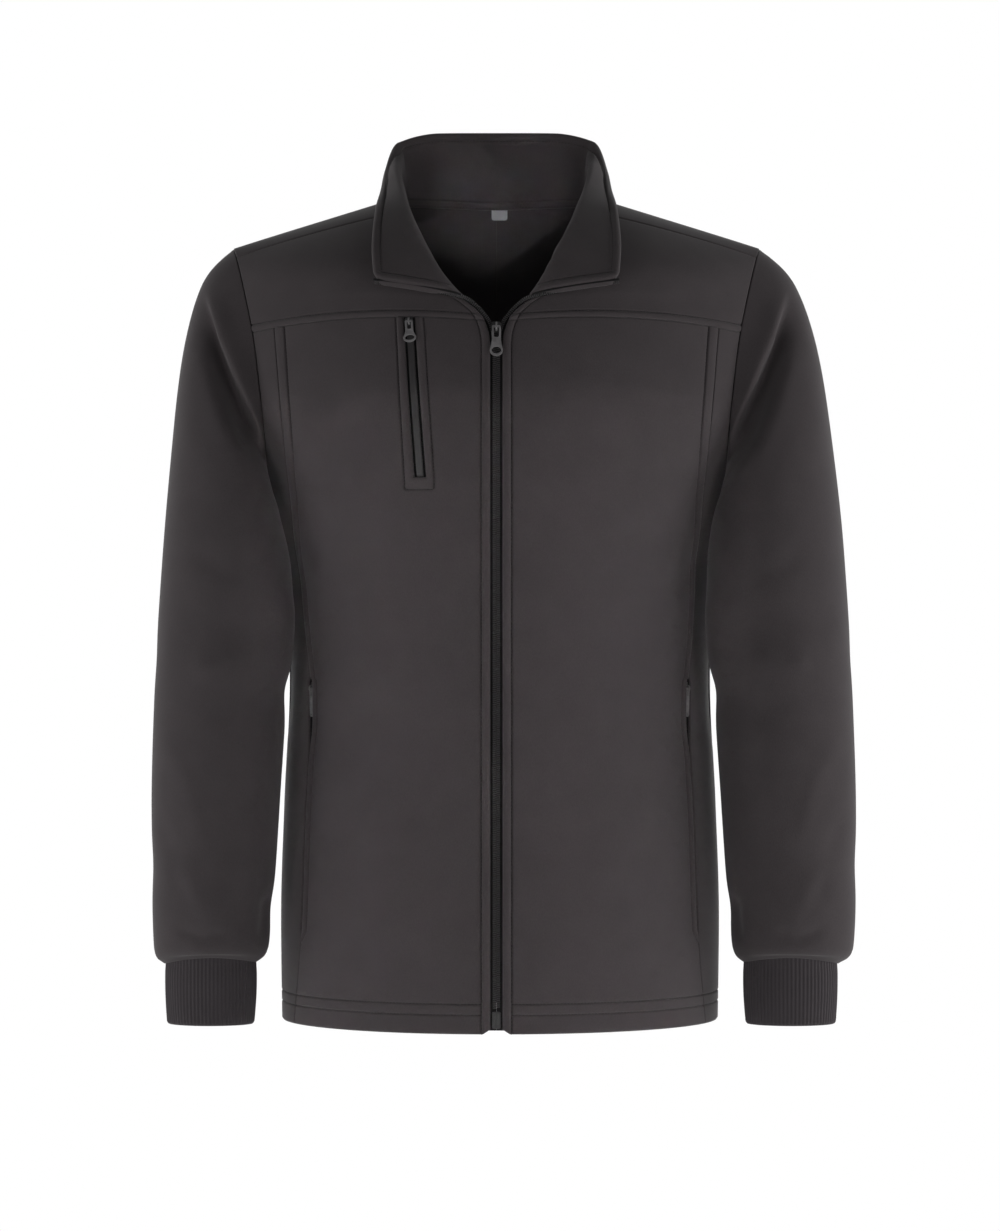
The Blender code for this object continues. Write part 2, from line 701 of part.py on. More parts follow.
def zip_path():
    low = front_levels()
    neck = np.array([yoke_level(share) for share in (0.04, 0.08, 0.12, 0.16, 0.196)])
    rows = np.concatenate([[TAPE_FOOT, ZIP_FOOT], low[low > ZIP_FOOT], neck])
    place, side, _, _ = body_frame(0 * rows, rows)
    return place, -side


def collar_edge():
    rise = np.linspace(0.02, 1, 12)
    place = collar(1 + 0 * rise, rise)
    return place, unit(place - collar(0.995 + 0 * rise, rise))


def build_zip(tape_look, chain_look):
    body_place, body_past = zip_path()
    edge_place, edge_past = collar_edge()
    tape_past, tape_out = edge_line(body_place, body_past)
    tape_place, body_place = body_place, body_place[1:]
    collar_past, collar_out = edge_line(edge_place, edge_past)
    edge_place, collar_past, collar_out = edge_place[2:], collar_past[2:], collar_out[2:]
    places = np.concatenate([body_place, edge_place])
    past = np.concatenate([tape_past[1:], collar_past])
    first, last = len(body_place) - 4, len(body_place) + 4
    share = np.clip((np.arange(len(places)) - first) / (last - first), 0, 1)[:, None]
    mixed = unit(past[first] * (1 - share) + past[last] * share)
    past = np.where((share > 0) & (share < 1), mixed, past)
    places = places + past * TWIST_CLEAR * 4 * share * (1 - share)
    chain_past, chain_out = edge_line(places, past)
    for side, name in ((-1, "right"), (1, "left")):
        tape = [(-TAPE_UNDER, TAPE[0]), (CHAIN[1], TAPE[0]), (CHAIN[1], TAPE[1]), (-TAPE_UNDER, TAPE[1])]
        strip("zip_tape_" + name, on_side(tape_place, side), mirrored(tape_past, side),
              mirrored(tape_out, side), tape, tape_look)
        edge = [(SEAM, 1.0), (CHAIN[0] - SEAM, 1.0), (CHAIN[0] - SEAM, 2.0), (SEAM, 2.0)]
        strip("collar_tape_" + name, mirrored(edge_place[1:], side), mirrored(collar_past[1:], side),
              mirrored(collar_out[1:], side), edge, tape_look)
        chain = [(CHAIN[0], CHAIN_DEPTH[0]), (CHAIN[1], CHAIN_DEPTH[0]), (CHAIN[1], CHAIN_DEPTH[1]),
                 (CHAIN[0], CHAIN_DEPTH[1])]
        strip("zip_chain_" + name, on_side(places, side), mirrored(chain_past, side),
              mirrored(chain_out, side), chain, chain_look)


def box(name, size, at, look, where, edge=0.3):
    bpy.ops.mesh.primitive_cube_add(size=1)
    made = bpy.context.active_object
    made.name = name
    for vertex in made.data.vertices:
        vertex.co = Vector(c * s + p for c, s, p in zip(vertex.co, size, at)) * MM
    made.data.materials.append(look)
    if edge:
        bevel = made.modifiers.new("edges", "BEVEL")
        bevel.width = edge * MM
        bevel.segments = 1
    for home in list(made.users_collection):
        home.objects.unlink(made)
    where.objects.link(made)
    return made


def join_solid(base, other):
    other.display_type = "WIRE"
    other.hide_render = True
    other.matrix_world = base.matrix_world
    cut = base.modifiers.new(other.name, "BOOLEAN")
    cut.operation = "UNION"
    cut.solver = "EXACT"
    cut.object = other


def seat(place, up, out, lift):
    """Matrix of a zip slider: X across, Y up the zip, Z out, its origin on the axis of its pull."""
    z = Vector(unit(out))
    y = Vector(up)
    y = (y - z * y.dot(z)).normalized()
    x = y.cross(z)
    spot = (Vector(place) + z * lift) * MM
    turned = Matrix((x, y, z)).transposed()
    return Matrix.LocRotScale(spot, turned.to_quaternion(), None)


def build_slider(name, size, matrix, look, below=None):
    plate = box(name, (size.width, size.length, size.plate), (0, 0, -size.axis - size.plate / 2), look, PARTS)
    plate.matrix_world = matrix
    beam = size.axis + BRIDGE_WALL / 2
    pieces = [((size.bridge, 2 * size.reach, BRIDGE_WALL), (0, 0, beam))]
    for end in (-1, 1):
        height = 2 * size.axis + BRIDGE_WALL + 0.4
        middle = size.axis + BRIDGE_WALL - height / 2
        pieces.append(((size.bridge, BRIDGE_WALL, height), (0, end * (size.reach - BRIDGE_WALL / 2), middle)))
    pieces += below or []
    for number, (extent, at) in enumerate(pieces):
        join_solid(plate, box(f"{name}_piece_{number}", extent, at, look, CUTTERS, 0))
    return plate


def build_pull(name, size, matrix, look):
    centre = size.ring_tall - size.length
    sweep = np.linspace(0.25, -math.pi - 0.25, 17)
    outline = [(-size.half + 0.6, BAR), (size.half - 0.6, BAR), (size.half, BAR - 0.6)]
    outline += [(size.half, -size.flare)]
    outline += [(size.ring * math.cos(a), centre + size.ring_tall * math.sin(a)) for a in sweep]
    outline += [(-size.half, -size.flare), (-size.half, BAR - 0.6)]
    gap = [(-size.slot, -BAR), (size.slot, -BAR), (size.slot, -size.slot_end), (-size.slot, -size.slot_end)]
    circle = np.linspace(0, 2 * math.pi, 13)[:-1]
    hole = [(size.hole * math.cos(a), centre + size.hole_tall * math.sin(a)) for a in circle]
    data = bpy.data.curves.new(name, "CURVE")
    data.dimensions = "2D"
    data.fill_mode = "BOTH"
    data.extrude = PULL_THICK / 2 * MM
    for line in (outline, gap, hole):
        spline = data.splines.new("POLY")
        spline.points.add(len(line) - 1)
        for point, (x, y) in zip(spline.points, line):
            point.co = (x * MM, y * MM, 0, 1)
        spline.use_cyclic_u = True
    made = add_object(name, data, look)
    made.matrix_world = matrix
    return made


def build_front_slider(look):
    height = FRONT_PULL_HEIGHT
    place = np.array([0.0, -float(column(TORSO, "front", height)), height])
    after = np.array([0.0, -float(column(TORSO, "front", height + 4)), height + 4])
    up = unit(after - place)
    out = np.cross([1.0, 0.0, 0.0], up)
    lift = -0.1 + FRONT_SLIDER.plate + FRONT_SLIDER.axis
    matrix = seat(place, up, out, lift)
    top = -FRONT_SLIDER.axis - FRONT_SLIDER.plate / 2
    back = -lift - TAPE[1] - 0.9
    below = [((2.4, 2.2, top - back), (0, 3.2, (top + back) / 2)),
             ((FRONT_SLIDER.width, FRONT_SLIDER.length - 1, 1.1), (0, 0, back - 0.5))]
    build_slider("front_slider", FRONT_SLIDER, matrix, look, below)
    build_pull("front_pull", FRONT_PULL, matrix, look)
    return matrix


def build_box(look):
    depth = -float(column(TORSO, "front", ZIP_FOOT))
    width, thick, tall = BOX_SIZE
    box("zip_box", BOX_SIZE, (0, depth + 0.4 + thick / 2, ZIP_FOOT - SEAM - tall / 2), look, PARTS, 0.5)


def build_chest_pocket(tape_look, metal):
    rows = front_levels()
    rows = rows[rows > SLIT_FOOT + 1.5]
    rows[-1] -= 1.0
    for name, size in (("chest_tape", CHEST_TAPE), ("chest_chain", CHEST_CHAIN)):
        half, near, far = size.half, size.near, size.far
        run = np.concatenate([[SLIT_FOOT + size.foot], rows])
        place, side, _, out = body_frame((slit(run, 0) + slit(run, 1)) / 2, run)
        section = [(-half, near), (half, near), (half, far), (-half, far)]
        strip(name, on_side(place, -1), mirrored(side, -1), mirrored(out, -1), section, tape_look)
    level = np.array(CHEST_PULL_LEVEL)
    at = (slit(level, 0) + slit(level, 1)) / 2
    foot_at = (slit(level - 20, 0) + slit(level - 20, 1)) / 2
    place, _, _, out = body_frame(at, level)
    up = unit(place - body(foot_at, level - 20))
    lift = -0.4 + CHEST_SLIDER.plate + CHEST_SLIDER.axis
    matrix = seat(on_side(place, -1), mirrored(up, -1), mirrored(out, -1), lift)
    build_slider("chest_slider", CHEST_SLIDER, matrix, metal)
    build_pull("chest_pull", CHEST_PULL, matrix, metal)
    return matrix


def build_hand_pockets(tape_look, metal):
    rows = front_levels()
    rows = rows[(rows >= POCKET_FOOT) & (rows <= POCKET_TOP + 4)]
    place, across, _, out = body_frame(princess(rows), rows)
    top = [(-9, 3.3), (-4, 3.6), (4, 3.6), (9, 3.3)]
    section = top + [(out_by, depth + POCKET_TAPE_THICK) for out_by, depth in reversed(top)]
    level = np.array(POCKET_PULL_LEVEL)
    spot, _, _, face = body_frame(princess(level), level)
    up = unit(spot - body(princess(level - 24), level - 24))
    lift = -3.3 + POCKET_SLIDER.plate + POCKET_SLIDER.axis
    found = {}
    for side, name in ((-1, "right"), (1, "left")):
        strip("pocket_zip_" + name, on_side(place, side), mirrored(across, side), mirrored(out, side),
              section, tape_look)
        matrix = seat(on_side(spot, side), mirrored(up, side), mirrored(face, side), lift)
        build_slider("pocket_slider_" + name, POCKET_SLIDER, matrix, metal)
        build_pull("pocket_pull_" + name, POCKET_PULL, matrix, metal)
        found[name] = matrix
    return found


def build_label(look):
    width, tall = LABEL_SIZE
    below, neck = BACK_RISE[-2], BACK_RISE[-1]
    run = math.hypot(neck.depth - below.depth, neck.height - below.height) / (neck.share - below.share)
    shares = NECK_BACK_SHARE - (LABEL_DROP + np.linspace(0, tall, 3)) / run
    rows = np.array([yoke_level(share) for share in shares])
    reach = width / 2 / row_length(rows, False)
    grids = []
    for gap in LABEL_DEPTH:
        depth = CLOTH + gap
        grid = []
        for share in np.linspace(-1, 1, 5):
            across = share * reach + LABEL_MIDDLE / row_length(rows, False)
            place, _, _, out = body_frame(np.abs(across), rows, False)
            grid.append(mirrored(place - out * depth, -1 if across[0] < 0 else 1))
        grids.append(np.stack(grid, axis=1))
    wall("label", [(grids[0], grids[1], None)], look)


clear_scene()
PARTS = bpy.data.collections.new("fleece_jacket")
CUTTERS = bpy.data.collections.new("cutters")
bpy.context.scene.collection.children.link(PARTS)
bpy.context.scene.collection.children.link(CUTTERS)

FLEECE = material("charcoal_fleece", (0.045, 0.041, 0.042), 0.95)
RIB = material("charcoal_rib", (0.04, 0.037, 0.039), 0.95)
WEBBING = material("black_tape", (0.012, 0.012, 0.012), 0.8)
COIL = material("black_coil", (0.02, 0.02, 0.021), 0.45)
METAL = material("gunmetal", (0.16, 0.16, 0.165), 0.35, 1.0)
WHITE = material("white_label", (0.75, 0.76, 0.78), 0.8)

build_fronts(FLEECE)
build_sides(FLEECE)
build_yokes(FLEECE)
build_back(FLEECE)
build_collar(FLEECE)
build_sleeves(FLEECE)
build_cuffs(RIB)
build_zip(WEBBING, COIL)
build_box(METAL)
build_front_slider(METAL)
build_chest_pocket(WEBBING, METAL)
build_hand_pockets(WEBBING, METAL)
build_label(WHITE)
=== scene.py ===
import math

import bmesh
import bpy
import numpy as np
from mathutils import Matrix, Vector


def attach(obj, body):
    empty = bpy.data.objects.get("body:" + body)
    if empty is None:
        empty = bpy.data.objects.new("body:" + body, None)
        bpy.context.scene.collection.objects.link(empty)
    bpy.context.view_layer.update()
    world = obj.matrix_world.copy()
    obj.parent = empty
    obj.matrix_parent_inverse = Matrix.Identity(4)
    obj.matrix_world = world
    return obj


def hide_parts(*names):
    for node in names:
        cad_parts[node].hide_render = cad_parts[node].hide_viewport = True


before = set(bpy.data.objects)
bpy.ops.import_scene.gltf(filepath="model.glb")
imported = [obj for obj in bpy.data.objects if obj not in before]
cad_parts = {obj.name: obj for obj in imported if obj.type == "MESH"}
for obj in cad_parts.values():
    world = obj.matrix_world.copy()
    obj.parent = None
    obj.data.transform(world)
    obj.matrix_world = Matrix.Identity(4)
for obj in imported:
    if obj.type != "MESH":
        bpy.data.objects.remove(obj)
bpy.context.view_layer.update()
scene = bpy.context.scene
mm = 0.001
wearer = "jacket"       # body that carries the cloth
sewnLines = []          # path of every row of stitches, in millimetres
hands = ((-1, "right"), (1, "left"))    # sign of x and word for each side of the wearer
print("frame loaded:", len(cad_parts), "nodes")

studio = {
    "camera": (0.00303, -3.2, -0.36),
    "lens": 108.06,
    "sensor": 36.0,
    "clipEnd": 30.0,
    "floor": -1.75,
    "floorEnd": 4.5,
    "floorGlow": 0.6,   # for the camera only
    "wall": 2.5,        # lit paper behind, which only gives light
    "wallTop": 4.0,
    "wallGlow": 1.0,
    "half": 6.0,
    "white": 0.9,
    # place, aim, width, height, watts, spread in degrees
    "lights": {
        "leftSide": ((-2.4, -0.35, -0.5), (0.0, 0.0, -0.4), 1.0, 1.4, 23.0, 180),
        "rightSide": ((2.4, -0.35, -0.5), (0.0, 0.0, -0.4), 1.0, 1.4, 33.0, 180),
        "leftLight": ((-1.7, -1.7, -0.5), (0.0, 0.0, -0.4), 1.0, 1.4, 12.0, 180),
        "rightLight": ((1.7, -1.7, -0.5), (0.0, 0.0, -0.4), 1.0, 1.4, 12.5, 180),
        "frontLight": ((0.0, -2.8, -0.9), (0.0, 0.0, -0.5), 0.8, 0.6, 5.0, 180),
        "topLight": ((0.0, -0.9, 1.6), (0.0, 0.0, -0.2), 1.4, 1.0, 1.5, 180),
        "chestLight": ((0.0, -2.9, -0.46), (0.0, 0.0, -0.46), 0.42, 0.56, 0.15, 1.0),
        "collarLight": ((0.0, -2.9, -0.55), (0.0, 0.07, 0.015), 0.10, 0.08, 0.018, 2.4),
    },
}


def addNode(tree, kind, inputs=None, **settings):
    node = tree.nodes.new(kind)
    for key, value in settings.items():
        setattr(node, key, value)
    for key, value in (inputs or {}).items():
        if isinstance(value, bpy.types.NodeSocket):
            tree.links.new(value, node.inputs[key])
        else:
            node.inputs[key].default_value = value
    return node


def newMaterial(name, **sockets):
    made = bpy.data.materials.new(name)
    made.use_nodes = True
    shader = made.node_tree.nodes["Principled BSDF"]
    for key, value in sockets.items():
        shader.inputs[key.replace("_", " ")].default_value = value
    return made, made.node_tree, shader


def placed(name, data):
    made = bpy.data.objects.new(name, data)
    scene.collection.objects.link(made)
    return made


def cameraRay(tree):
    return addNode(tree, "ShaderNodeLightPath").outputs["Is Camera Ray"]


def buildStudio():
    camera = placed("camera", bpy.data.cameras.new("camera"))
    camera.location = studio["camera"]
    camera.rotation_euler = (math.pi / 2, 0, 0)
    camera.data.lens = studio["lens"]
    camera.data.sensor_width = studio["sensor"]
    camera.data.clip_end = studio["clipEnd"]
    scene.camera = camera
    scene.view_settings.view_transform = "Standard"
    for name, (place, aim, width, height, watts, spread) in studio["lights"].items():
        light = bpy.data.lights.new(name, "AREA")
        light.shape = "RECTANGLE"
        light.size, light.size_y, light.energy = width, height, watts
        light.spread = math.radians(spread)
        lamp = placed(name, light)
        lamp.location = place
        lamp.rotation_euler = (Vector(aim) - Vector(place)).to_track_quat("-Z", "Y").to_euler()
    # white all round for the camera, no light of its own
    world = bpy.data.worlds.new("softRoom")
    world.use_nodes = True
    tree = world.node_tree
    tree.nodes["Background"].inputs["Color"].default_value = (1, 1, 1, 1)
    tree.links.new(cameraRay(tree), tree.nodes["Background"].inputs["Strength"])
    scene.world = world
    low, half, end = studio["floor"], studio["half"], studio["floorEnd"]
    back, top, white = studio["wall"], studio["wallTop"], studio["white"]
    sheets = {"floor": [(-half, -half, low), (half, -half, low), (half, end, low), (-half, end, low)],
              "wall": [(-half, back, low), (half, back, low), (half, back, top), (-half, back, top)]}
    for name, corners in sheets.items():
        mesh = bpy.data.meshes.new(name)
        mesh.from_pydata(corners, [], [(0, 1, 2, 3)])
        glow = studio[name + "Glow"]
        paper, tree, shader = newMaterial(name + "Paper", Base_Color=(white, white, white, 1),
                                          Roughness=0.95, Emission_Color=(glow, glow, glow, 1),
                                          Emission_Strength=1.0)
        mesh.materials.append(paper)
        sheet = placed(name, mesh)
        if name == "floor":     # pale to the camera everywhere
            tree.links.new(cameraRay(tree), shader.inputs["Emission Strength"])
        else:                   # gives light only, so that the back is in view from behind
            sheet.visible_camera = False


buildStudio()
print("studio built")


# Materials: one group for cloth surfaces, one for hard ones
def newTree(name, kind, inputs, outputs):
    # node group with named sockets
    tree = bpy.data.node_groups.new(name, kind)
    for way, sockets in (("INPUT", inputs), ("OUTPUT", outputs)):
        for label, socket in sockets.items():
            tree.interface.new_socket(label, in_out=way, socket_type="NodeSocket" + socket)
    return tree, tree.nodes.new("NodeGroupInput").outputs, tree.nodes.new("NodeGroupOutput").inputs


def maths(tree, operation, *values):
    return addNode(tree, "ShaderNodeMath", dict(enumerate(values)), operation=operation).outputs["Value"]


def noise(tree, place, scale, detail, roughness=0.5):
    grain = {"Vector": place, "Scale": scale, "Detail": detail, "Roughness": roughness}
    return addNode(tree, "ShaderNodeTexNoise", grain).outputs["Fac"]


def signed(tree, value, half):
    # noise within half of its middle, spread out to -1 to 1
    spread = {"Value": value, "From Min": 0.5 - half, "From Max": 0.5 + half, "To Min": -1.0, "To Max": 1.0}
    return addNode(tree, "ShaderNodeMapRange", spread).outputs["Result"]


napSizes = {"drawn": (1.0, 1.0, 0.45), "detail": 3.0, "roughness": 0.6, "patch": 42.0, "patchDetail": 4.0,
            "spread": 0.2}
finishSizes = {"detail": 3.0, "rub": 260.0, "rubDetail": 2.0, "spread": 0.15, "bump": 0.3}


def napGroup():
    size = napSizes
    tree, given, result = newTree(
        "napCloth", "ShaderNodeTree",
        {"Colour": "Color", "Nap Scale": "Float", "Mottle": "Float", "Tips": "Float"},
        {"Colour": "Color", "Height": "Float"})
    place = addNode(tree, "ShaderNodeTexCoord").outputs["Object"]
    drawn = addNode(tree, "ShaderNodeMapping", {"Vector": place, "Scale": size["drawn"]}).outputs["Vector"]
    nap = noise(tree, drawn, given["Nap Scale"], size["detail"], size["roughness"])
    patch = noise(tree, place, size["patch"], size["patchDetail"])
    low = maths(tree, "MULTIPLY_ADD", signed(tree, patch, size["spread"]), given["Mottle"], 1.0)
    both = maths(tree, "MULTIPLY_ADD", signed(tree, nap, size["spread"]), given["Tips"], low)
    scaled = addNode(tree, "ShaderNodeVectorMath", {0: given["Colour"], 3: both}, operation="SCALE")
    tree.links.new(scaled.outputs["Vector"], result["Colour"])
    tree.links.new(nap, result["Height"])
    return tree


def finishGroup():
    size = finishSizes
    tree, given, result = newTree(
        "wornFinish", "ShaderNodeTree",
        {"Colour": "Color", "Roughness": "Float", "Grain": "Float", "Wear": "Float"},
        {"Colour": "Color", "Roughness": "Float", "Height": "Float"})
    place = addNode(tree, "ShaderNodeTexCoord").outputs["Object"]
    grain = noise(tree, place, given["Grain"], size["detail"])
    rub = noise(tree, place, size["rub"], size["rubDetail"])
    tone = maths(tree, "MULTIPLY_ADD", signed(tree, rub, size["spread"]), given["Wear"], 1.0)
    scaled = addNode(tree, "ShaderNodeVectorMath", {0: given["Colour"], 3: tone}, operation="SCALE")
    tree.links.new(scaled.outputs["Vector"], result["Colour"])
    tree.links.new(maths(tree, "MULTIPLY", given["Roughness"], tone), result["Roughness"])
    tree.links.new(grain, result["Height"])
    return tree


napCloth, wornFinish = napGroup(), finishGroup()

clothLooks = {
    # colour, nap scale, mottle, tips, bump strength, bump depth in mm, sheen
    "fleece": ((0.0510, 0.0438, 0.0460), 1500.0, 0.05, 0.10, 0.30, 0.30, 0.12),
    "rib": ((0.047, 0.041, 0.0445), 1900.0, 0.05, 0.12, 0.25, 0.20, 0.08),
    "tape": ((0.013, 0.0125, 0.013), 2600.0, 0.05, 0.30, 0.45, 0.20, 0.0),
    # stitch thread: its own tone made darker, which is painted shade of the stitch grooves
    "threadGrooveShade": ((0.026, 0.0235, 0.0245), 3200.0, 0.04, 0.25, 0.35, 0.10, 0.0),
    "label": ((0.88, 0.89, 0.91), 3000.0, 0.03, 0.08, 0.40, 0.12, 0.0),
}
clothShine = {"Roughness": 0.95, "Specular_IOR_Level": 0.2, "Sheen_Roughness": 0.5}
hardLooks = {
    # colour, roughness, metallic, grain, wear, bump depth in mm
    "coil": ((0.027, 0.025, 0.026), 0.45, 0.0, 2200.0, 0.10, 0.04),
    "metal": ((0.19, 0.184, 0.188), 0.40, 0.3, 3000.0, 0.16, 0.02),
    "dull": ((0.055, 0.054, 0.055), 0.55, 0.6, 2600.0, 0.14, 0.03),
}


def joinLook(tree, shader, group, strength, depth):
    bump = addNode(tree, "ShaderNodeBump", {"Height": group.outputs["Height"], "Strength": strength,
                                            "Distance": depth * mm})
    tree.links.new(group.outputs["Colour"], shader.inputs["Base Color"])
    tree.links.new(bump.outputs["Normal"], shader.inputs["Normal"])


def buildLooks():
    made = {}
    for name, (colour, scale, mottle, tips, strength, depth, sheen) in clothLooks.items():
        made[name], tree, shader = newMaterial("jacket_" + name, Sheen_Weight=sheen, **clothShine)
        values = {"Colour": (*colour, 1), "Nap Scale": scale, "Mottle": mottle, "Tips": tips}
        group = addNode(tree, "ShaderNodeGroup", values, node_tree=napCloth)
        joinLook(tree, shader, group, strength, depth)
    for name, (colour, roughness, metallic, grain, wear, depth) in hardLooks.items():
        made[name], tree, shader = newMaterial("jacket_" + name, Metallic=metallic)
        values = {"Colour": (*colour, 1), "Roughness": roughness, "Grain": grain, "Wear": wear}
        group = addNode(tree, "ShaderNodeGroup", values, node_tree=wornFinish)
        joinLook(tree, shader, group, finishSizes["bump"], depth)
        tree.links.new(group.outputs["Roughness"], shader.inputs["Roughness"])
    return made


looks = buildLooks()
print("materials built:", ", ".join(looks))


# Curves through tables, and small vector tools
def smooth(keys, values, at):
    keys, values, at = (np.asarray(v, float) for v in (keys, values, at))
    step = np.diff(keys)
    slope = np.diff(values) / step
    tangent = np.concatenate([slope[:1], np.zeros(len(keys) - 2), slope[-1:]])
    for k in range(1, len(keys) - 1):
        if slope[k - 1] * slope[k] > 0:
            before = (2 * step[k] + step[k - 1]) / slope[k - 1]
            after = (step[k] + 2 * step[k - 1]) / slope[k]
            tangent[k] = 3 * (step[k - 1] + step[k]) / (before + after)
    k = np.clip(np.searchsorted(keys, at, "right") - 1, 0, len(keys) - 2)
    u = np.clip((at - keys[k]) / step[k], 0, 1)
    flat = u * u * (3 - 2 * u)
    rise = step[k] * u * (1 - u)
    return values[k] * (1 - flat) + values[k + 1] * flat + rise * (tangent[k] * (1 - u) - tangent[k + 1] * u)


def column(rows, index, at):
    return smooth([row[0] for row in rows], [row[index] for row in rows], at)


def ease(low, high, at):
    u = np.clip((at - low) / (high - low), 0, 1)
    return u * u * (3 - 2 * u)


def points(*axes):
    return np.stack(np.broadcast_arrays(*axes), axis=-1)


def unit(vectors):
    return vectors / np.maximum(np.linalg.norm(vectors, axis=-1, keepdims=True), 1e-9)


def mirrored(grid, side):
    return grid * np.array([side, 1.0, 1.0])


def arcs(grid, axis):
    # distance along rows or columns of a grid, from its first edge
    steps = np.linalg.norm(np.diff(grid, axis=axis), axis=-1)
    pad = [(1, 0), (0, 0)] if axis == 0 else [(0, 0), (1, 0)]
    return np.cumsum(np.pad(steps, pad), axis=axis)


# Body: the same form as the solids, in millimetres
torso = {
    "hem": -708.0, "underarm": -248.0, "armMiddle": -180.0, "yoke": -119.0, "shoulder": -43.0,
    "armFront": 60.0, "armBack": 72.0, "chestFront": 133.0, "chestBack": 122.0,
    "frontPull": -7.0, "backEase": 2.0, "yokeBow": 6.0, "bowFrom": -200.0,
    "frontLift": 5.5, "backLift": 11.0, "shoulderTurn": math.radians(25),
    "yokeEdge": -113.5, "neckFront": -94.0, "neckFrontShare": 0.2, "neckBackShare": 0.6,
    "wider": 0.016, "widerFrom": -260.0, "widerFull": -416.0, "lastShare": 0.9996,
    "blunt": 0.06, "bluntUntil": (0.6, 0.85),
    # level, side, front, back
    "rows": [(-708, 188.5, 132.0, 121.0), (-620, 189.5, 132.0, 119.0), (-520, 186.5, 130.5, 115.0),
             (-416, 182.0, 130.0, 112.0), (-312, 185.0, 132.0, 117.0), (-248, 199.0, 134.0, 122.0),
             (-180, 207.0, 129.5, 122.5), (-119, 214.0, 116.8, 117.5), (-94, 218.5, 107.0, 113.0),
             (-43, 228.0, 90.0, 100.0)],
    # height, half of the gap between the fronts
    "opening": [(-708, 5.0), (-135, 5.0), (-125, 6.0), (-115, 9.0), (-108.5, 12.5), (-104, 16.5),
                (-100.5, 20.5), (-97, 25.0), (-94, 30.0)],
    # level, distance of the front panel seam from the centre
    "princess": [(-708, 175.5), (-627, 168.5), (-530, 165.0), (-490, 162.8), (-450, 160.5), (-416, 161.0),
                 (-381, 164.5), (-292, 172.0), (-236, 178.0), (-187, 182.5), (-119, 188.5)],
    # share of the yoke, depth and height of the centre back
    "backRise": [(0.0, 117.5, -108.0), (0.2, 109.0, -68.0), (0.4, 95.0, -30.0), (0.6, 73.0, 5.0)],
}
collarSizes = {
    "neckPoint": 0.441, "cloth": 3.0, "stitch": 7.5, "edge": 1.5, "edgeSwell": 1.4, "corner": 8.0,
    "seamClear": 10.0, "foldsFrom": (10.0, 40.0), "neckStitch": 0.42,
    # outer layer past the zip: how far, its reach from the front edge, seam and top
    "lip": 5.2, "lipEdge": 9.0, "lipSeam": (9.0, 30.0), "lipTop": (0.5, 6.0),
    # facing below the neck seam: depth, where it ends towards the front, rows
    "facing": 6.5, "facingEnds": (0.7, 0.95), "facingRows": (0.1, 0.4, 0.75, 1.0),
    # station, how far the right half's roll line lies further out
    "lean": [(0.0, 0.0), (0.308, 2.5), (0.441, 4.0), (0.549, 5.0), (0.697, 6.5), (0.858, 8.0), (1.0, 5.0)],
    # soft folds of the stand: path in front view, depth, width on each side
    "folds": [([(-34, 8), (-30, 34), (-22, 62)], -1.3, 9, 14), ([(-8, 10), (-6, 36), (2, 62)], 1.0, 14, 12),
              ([(26, 8), (24, 36), (30, 62)], -1.1, 12, 10), ([(58, 12), (52, 34), (54, 56)], 0.9, 10, 10)],
    # station from centre back to front edge, then seam, roll line and top edge
    "rows": [(0.000, (0, 73, 5), (0, 71, 38), (0, 65, 66.5)),
             (0.173, (50, 64, 6), (50, 62.5, 38), (51, 58, 65.3)),
             (0.308, (80, 40, 4), (81.5, 43, 39), (86, 47, 54.5)),
             (0.441, (89, 2, 1), (82, 14, 29), (95.5, 25, 24)),
             (0.549, (87, -29, -10), (77.5, -19, 9), (98.7, -3, 6)),
             (0.697, (78, -63, -34), (69, -59, -19), (103, -46, -15)),
             (0.858, (58, -93, -66), (54, -95, -56), (105, -83, -48)),
             (1.000, (30, -107, -94), (46, -115, -88), (102.5, -107, -79))],
}


def armAngle(level):
    rise = np.asarray(level, float) - torso["armMiddle"]
    reach = np.where(rise < 0, torso["armMiddle"] - torso["underarm"], torso["shoulder"] - torso["armMiddle"])
    return np.arcsin(np.clip(rise / reach, -1, 1))


yokeAngle = float(armAngle(torso["yoke"]))


def yokeShare(level):
    return np.clip((armAngle(level) - yokeAngle) / (math.pi / 2 - yokeAngle), 0, 1)


def yokeLevel(share):
    turn = yokeAngle + np.asarray(share) * (math.pi / 2 - yokeAngle)
    return torso["armMiddle"] + (torso["shoulder"] - torso["armMiddle"]) * np.sin(turn)


def armhole(level, front):
    wide = np.cos(armAngle(level))
    # no pull at the underarm, so that no line shows across the chest there
    soft = np.where(np.asarray(level) < torso["armMiddle"], ease(0, 0.7, wide), 1)
    pull = (torso["frontPull"] if front else torso["backEase"]) * soft
    reach = -torso["armFront"] if front else torso["armBack"]
    return points(column(torso["rows"], 1, level) + pull * wide, reach * wide, level)


def collarLine(index, station):
    rows = collarSizes["rows"]
    stations = [-row[0] for row in rows[:0:-1]] + [row[0] for row in rows]
    right = [(-row[index][0], *row[index][1:]) for row in rows[:0:-1]]
    places = np.array(right + [row[index] for row in rows], float)
    return points(*(smooth(stations, places[:, axis], station) for axis in range(3)))


def frontEdge(level):
    share = yokeShare(level)
    below = level + torso["frontLift"] * ease(torso["armMiddle"], torso["yoke"], level)
    neck = torso["neckFrontShare"]
    above = torso["yokeEdge"] + (torso["neckFront"] - torso["yokeEdge"]) * np.clip(share / neck, 0, 1)
    height = np.where(share > 0, above, below)
    edge = points(column(torso["opening"], 1, height), -column(torso["rows"], 2, height), height)
    along = np.clip((share - neck) / (1 - neck), 0, 1)
    neckline = collarLine(1, 1 - along * (1 - collarSizes["neckPoint"]))
    return np.where((share > neck)[..., None], neckline, edge)


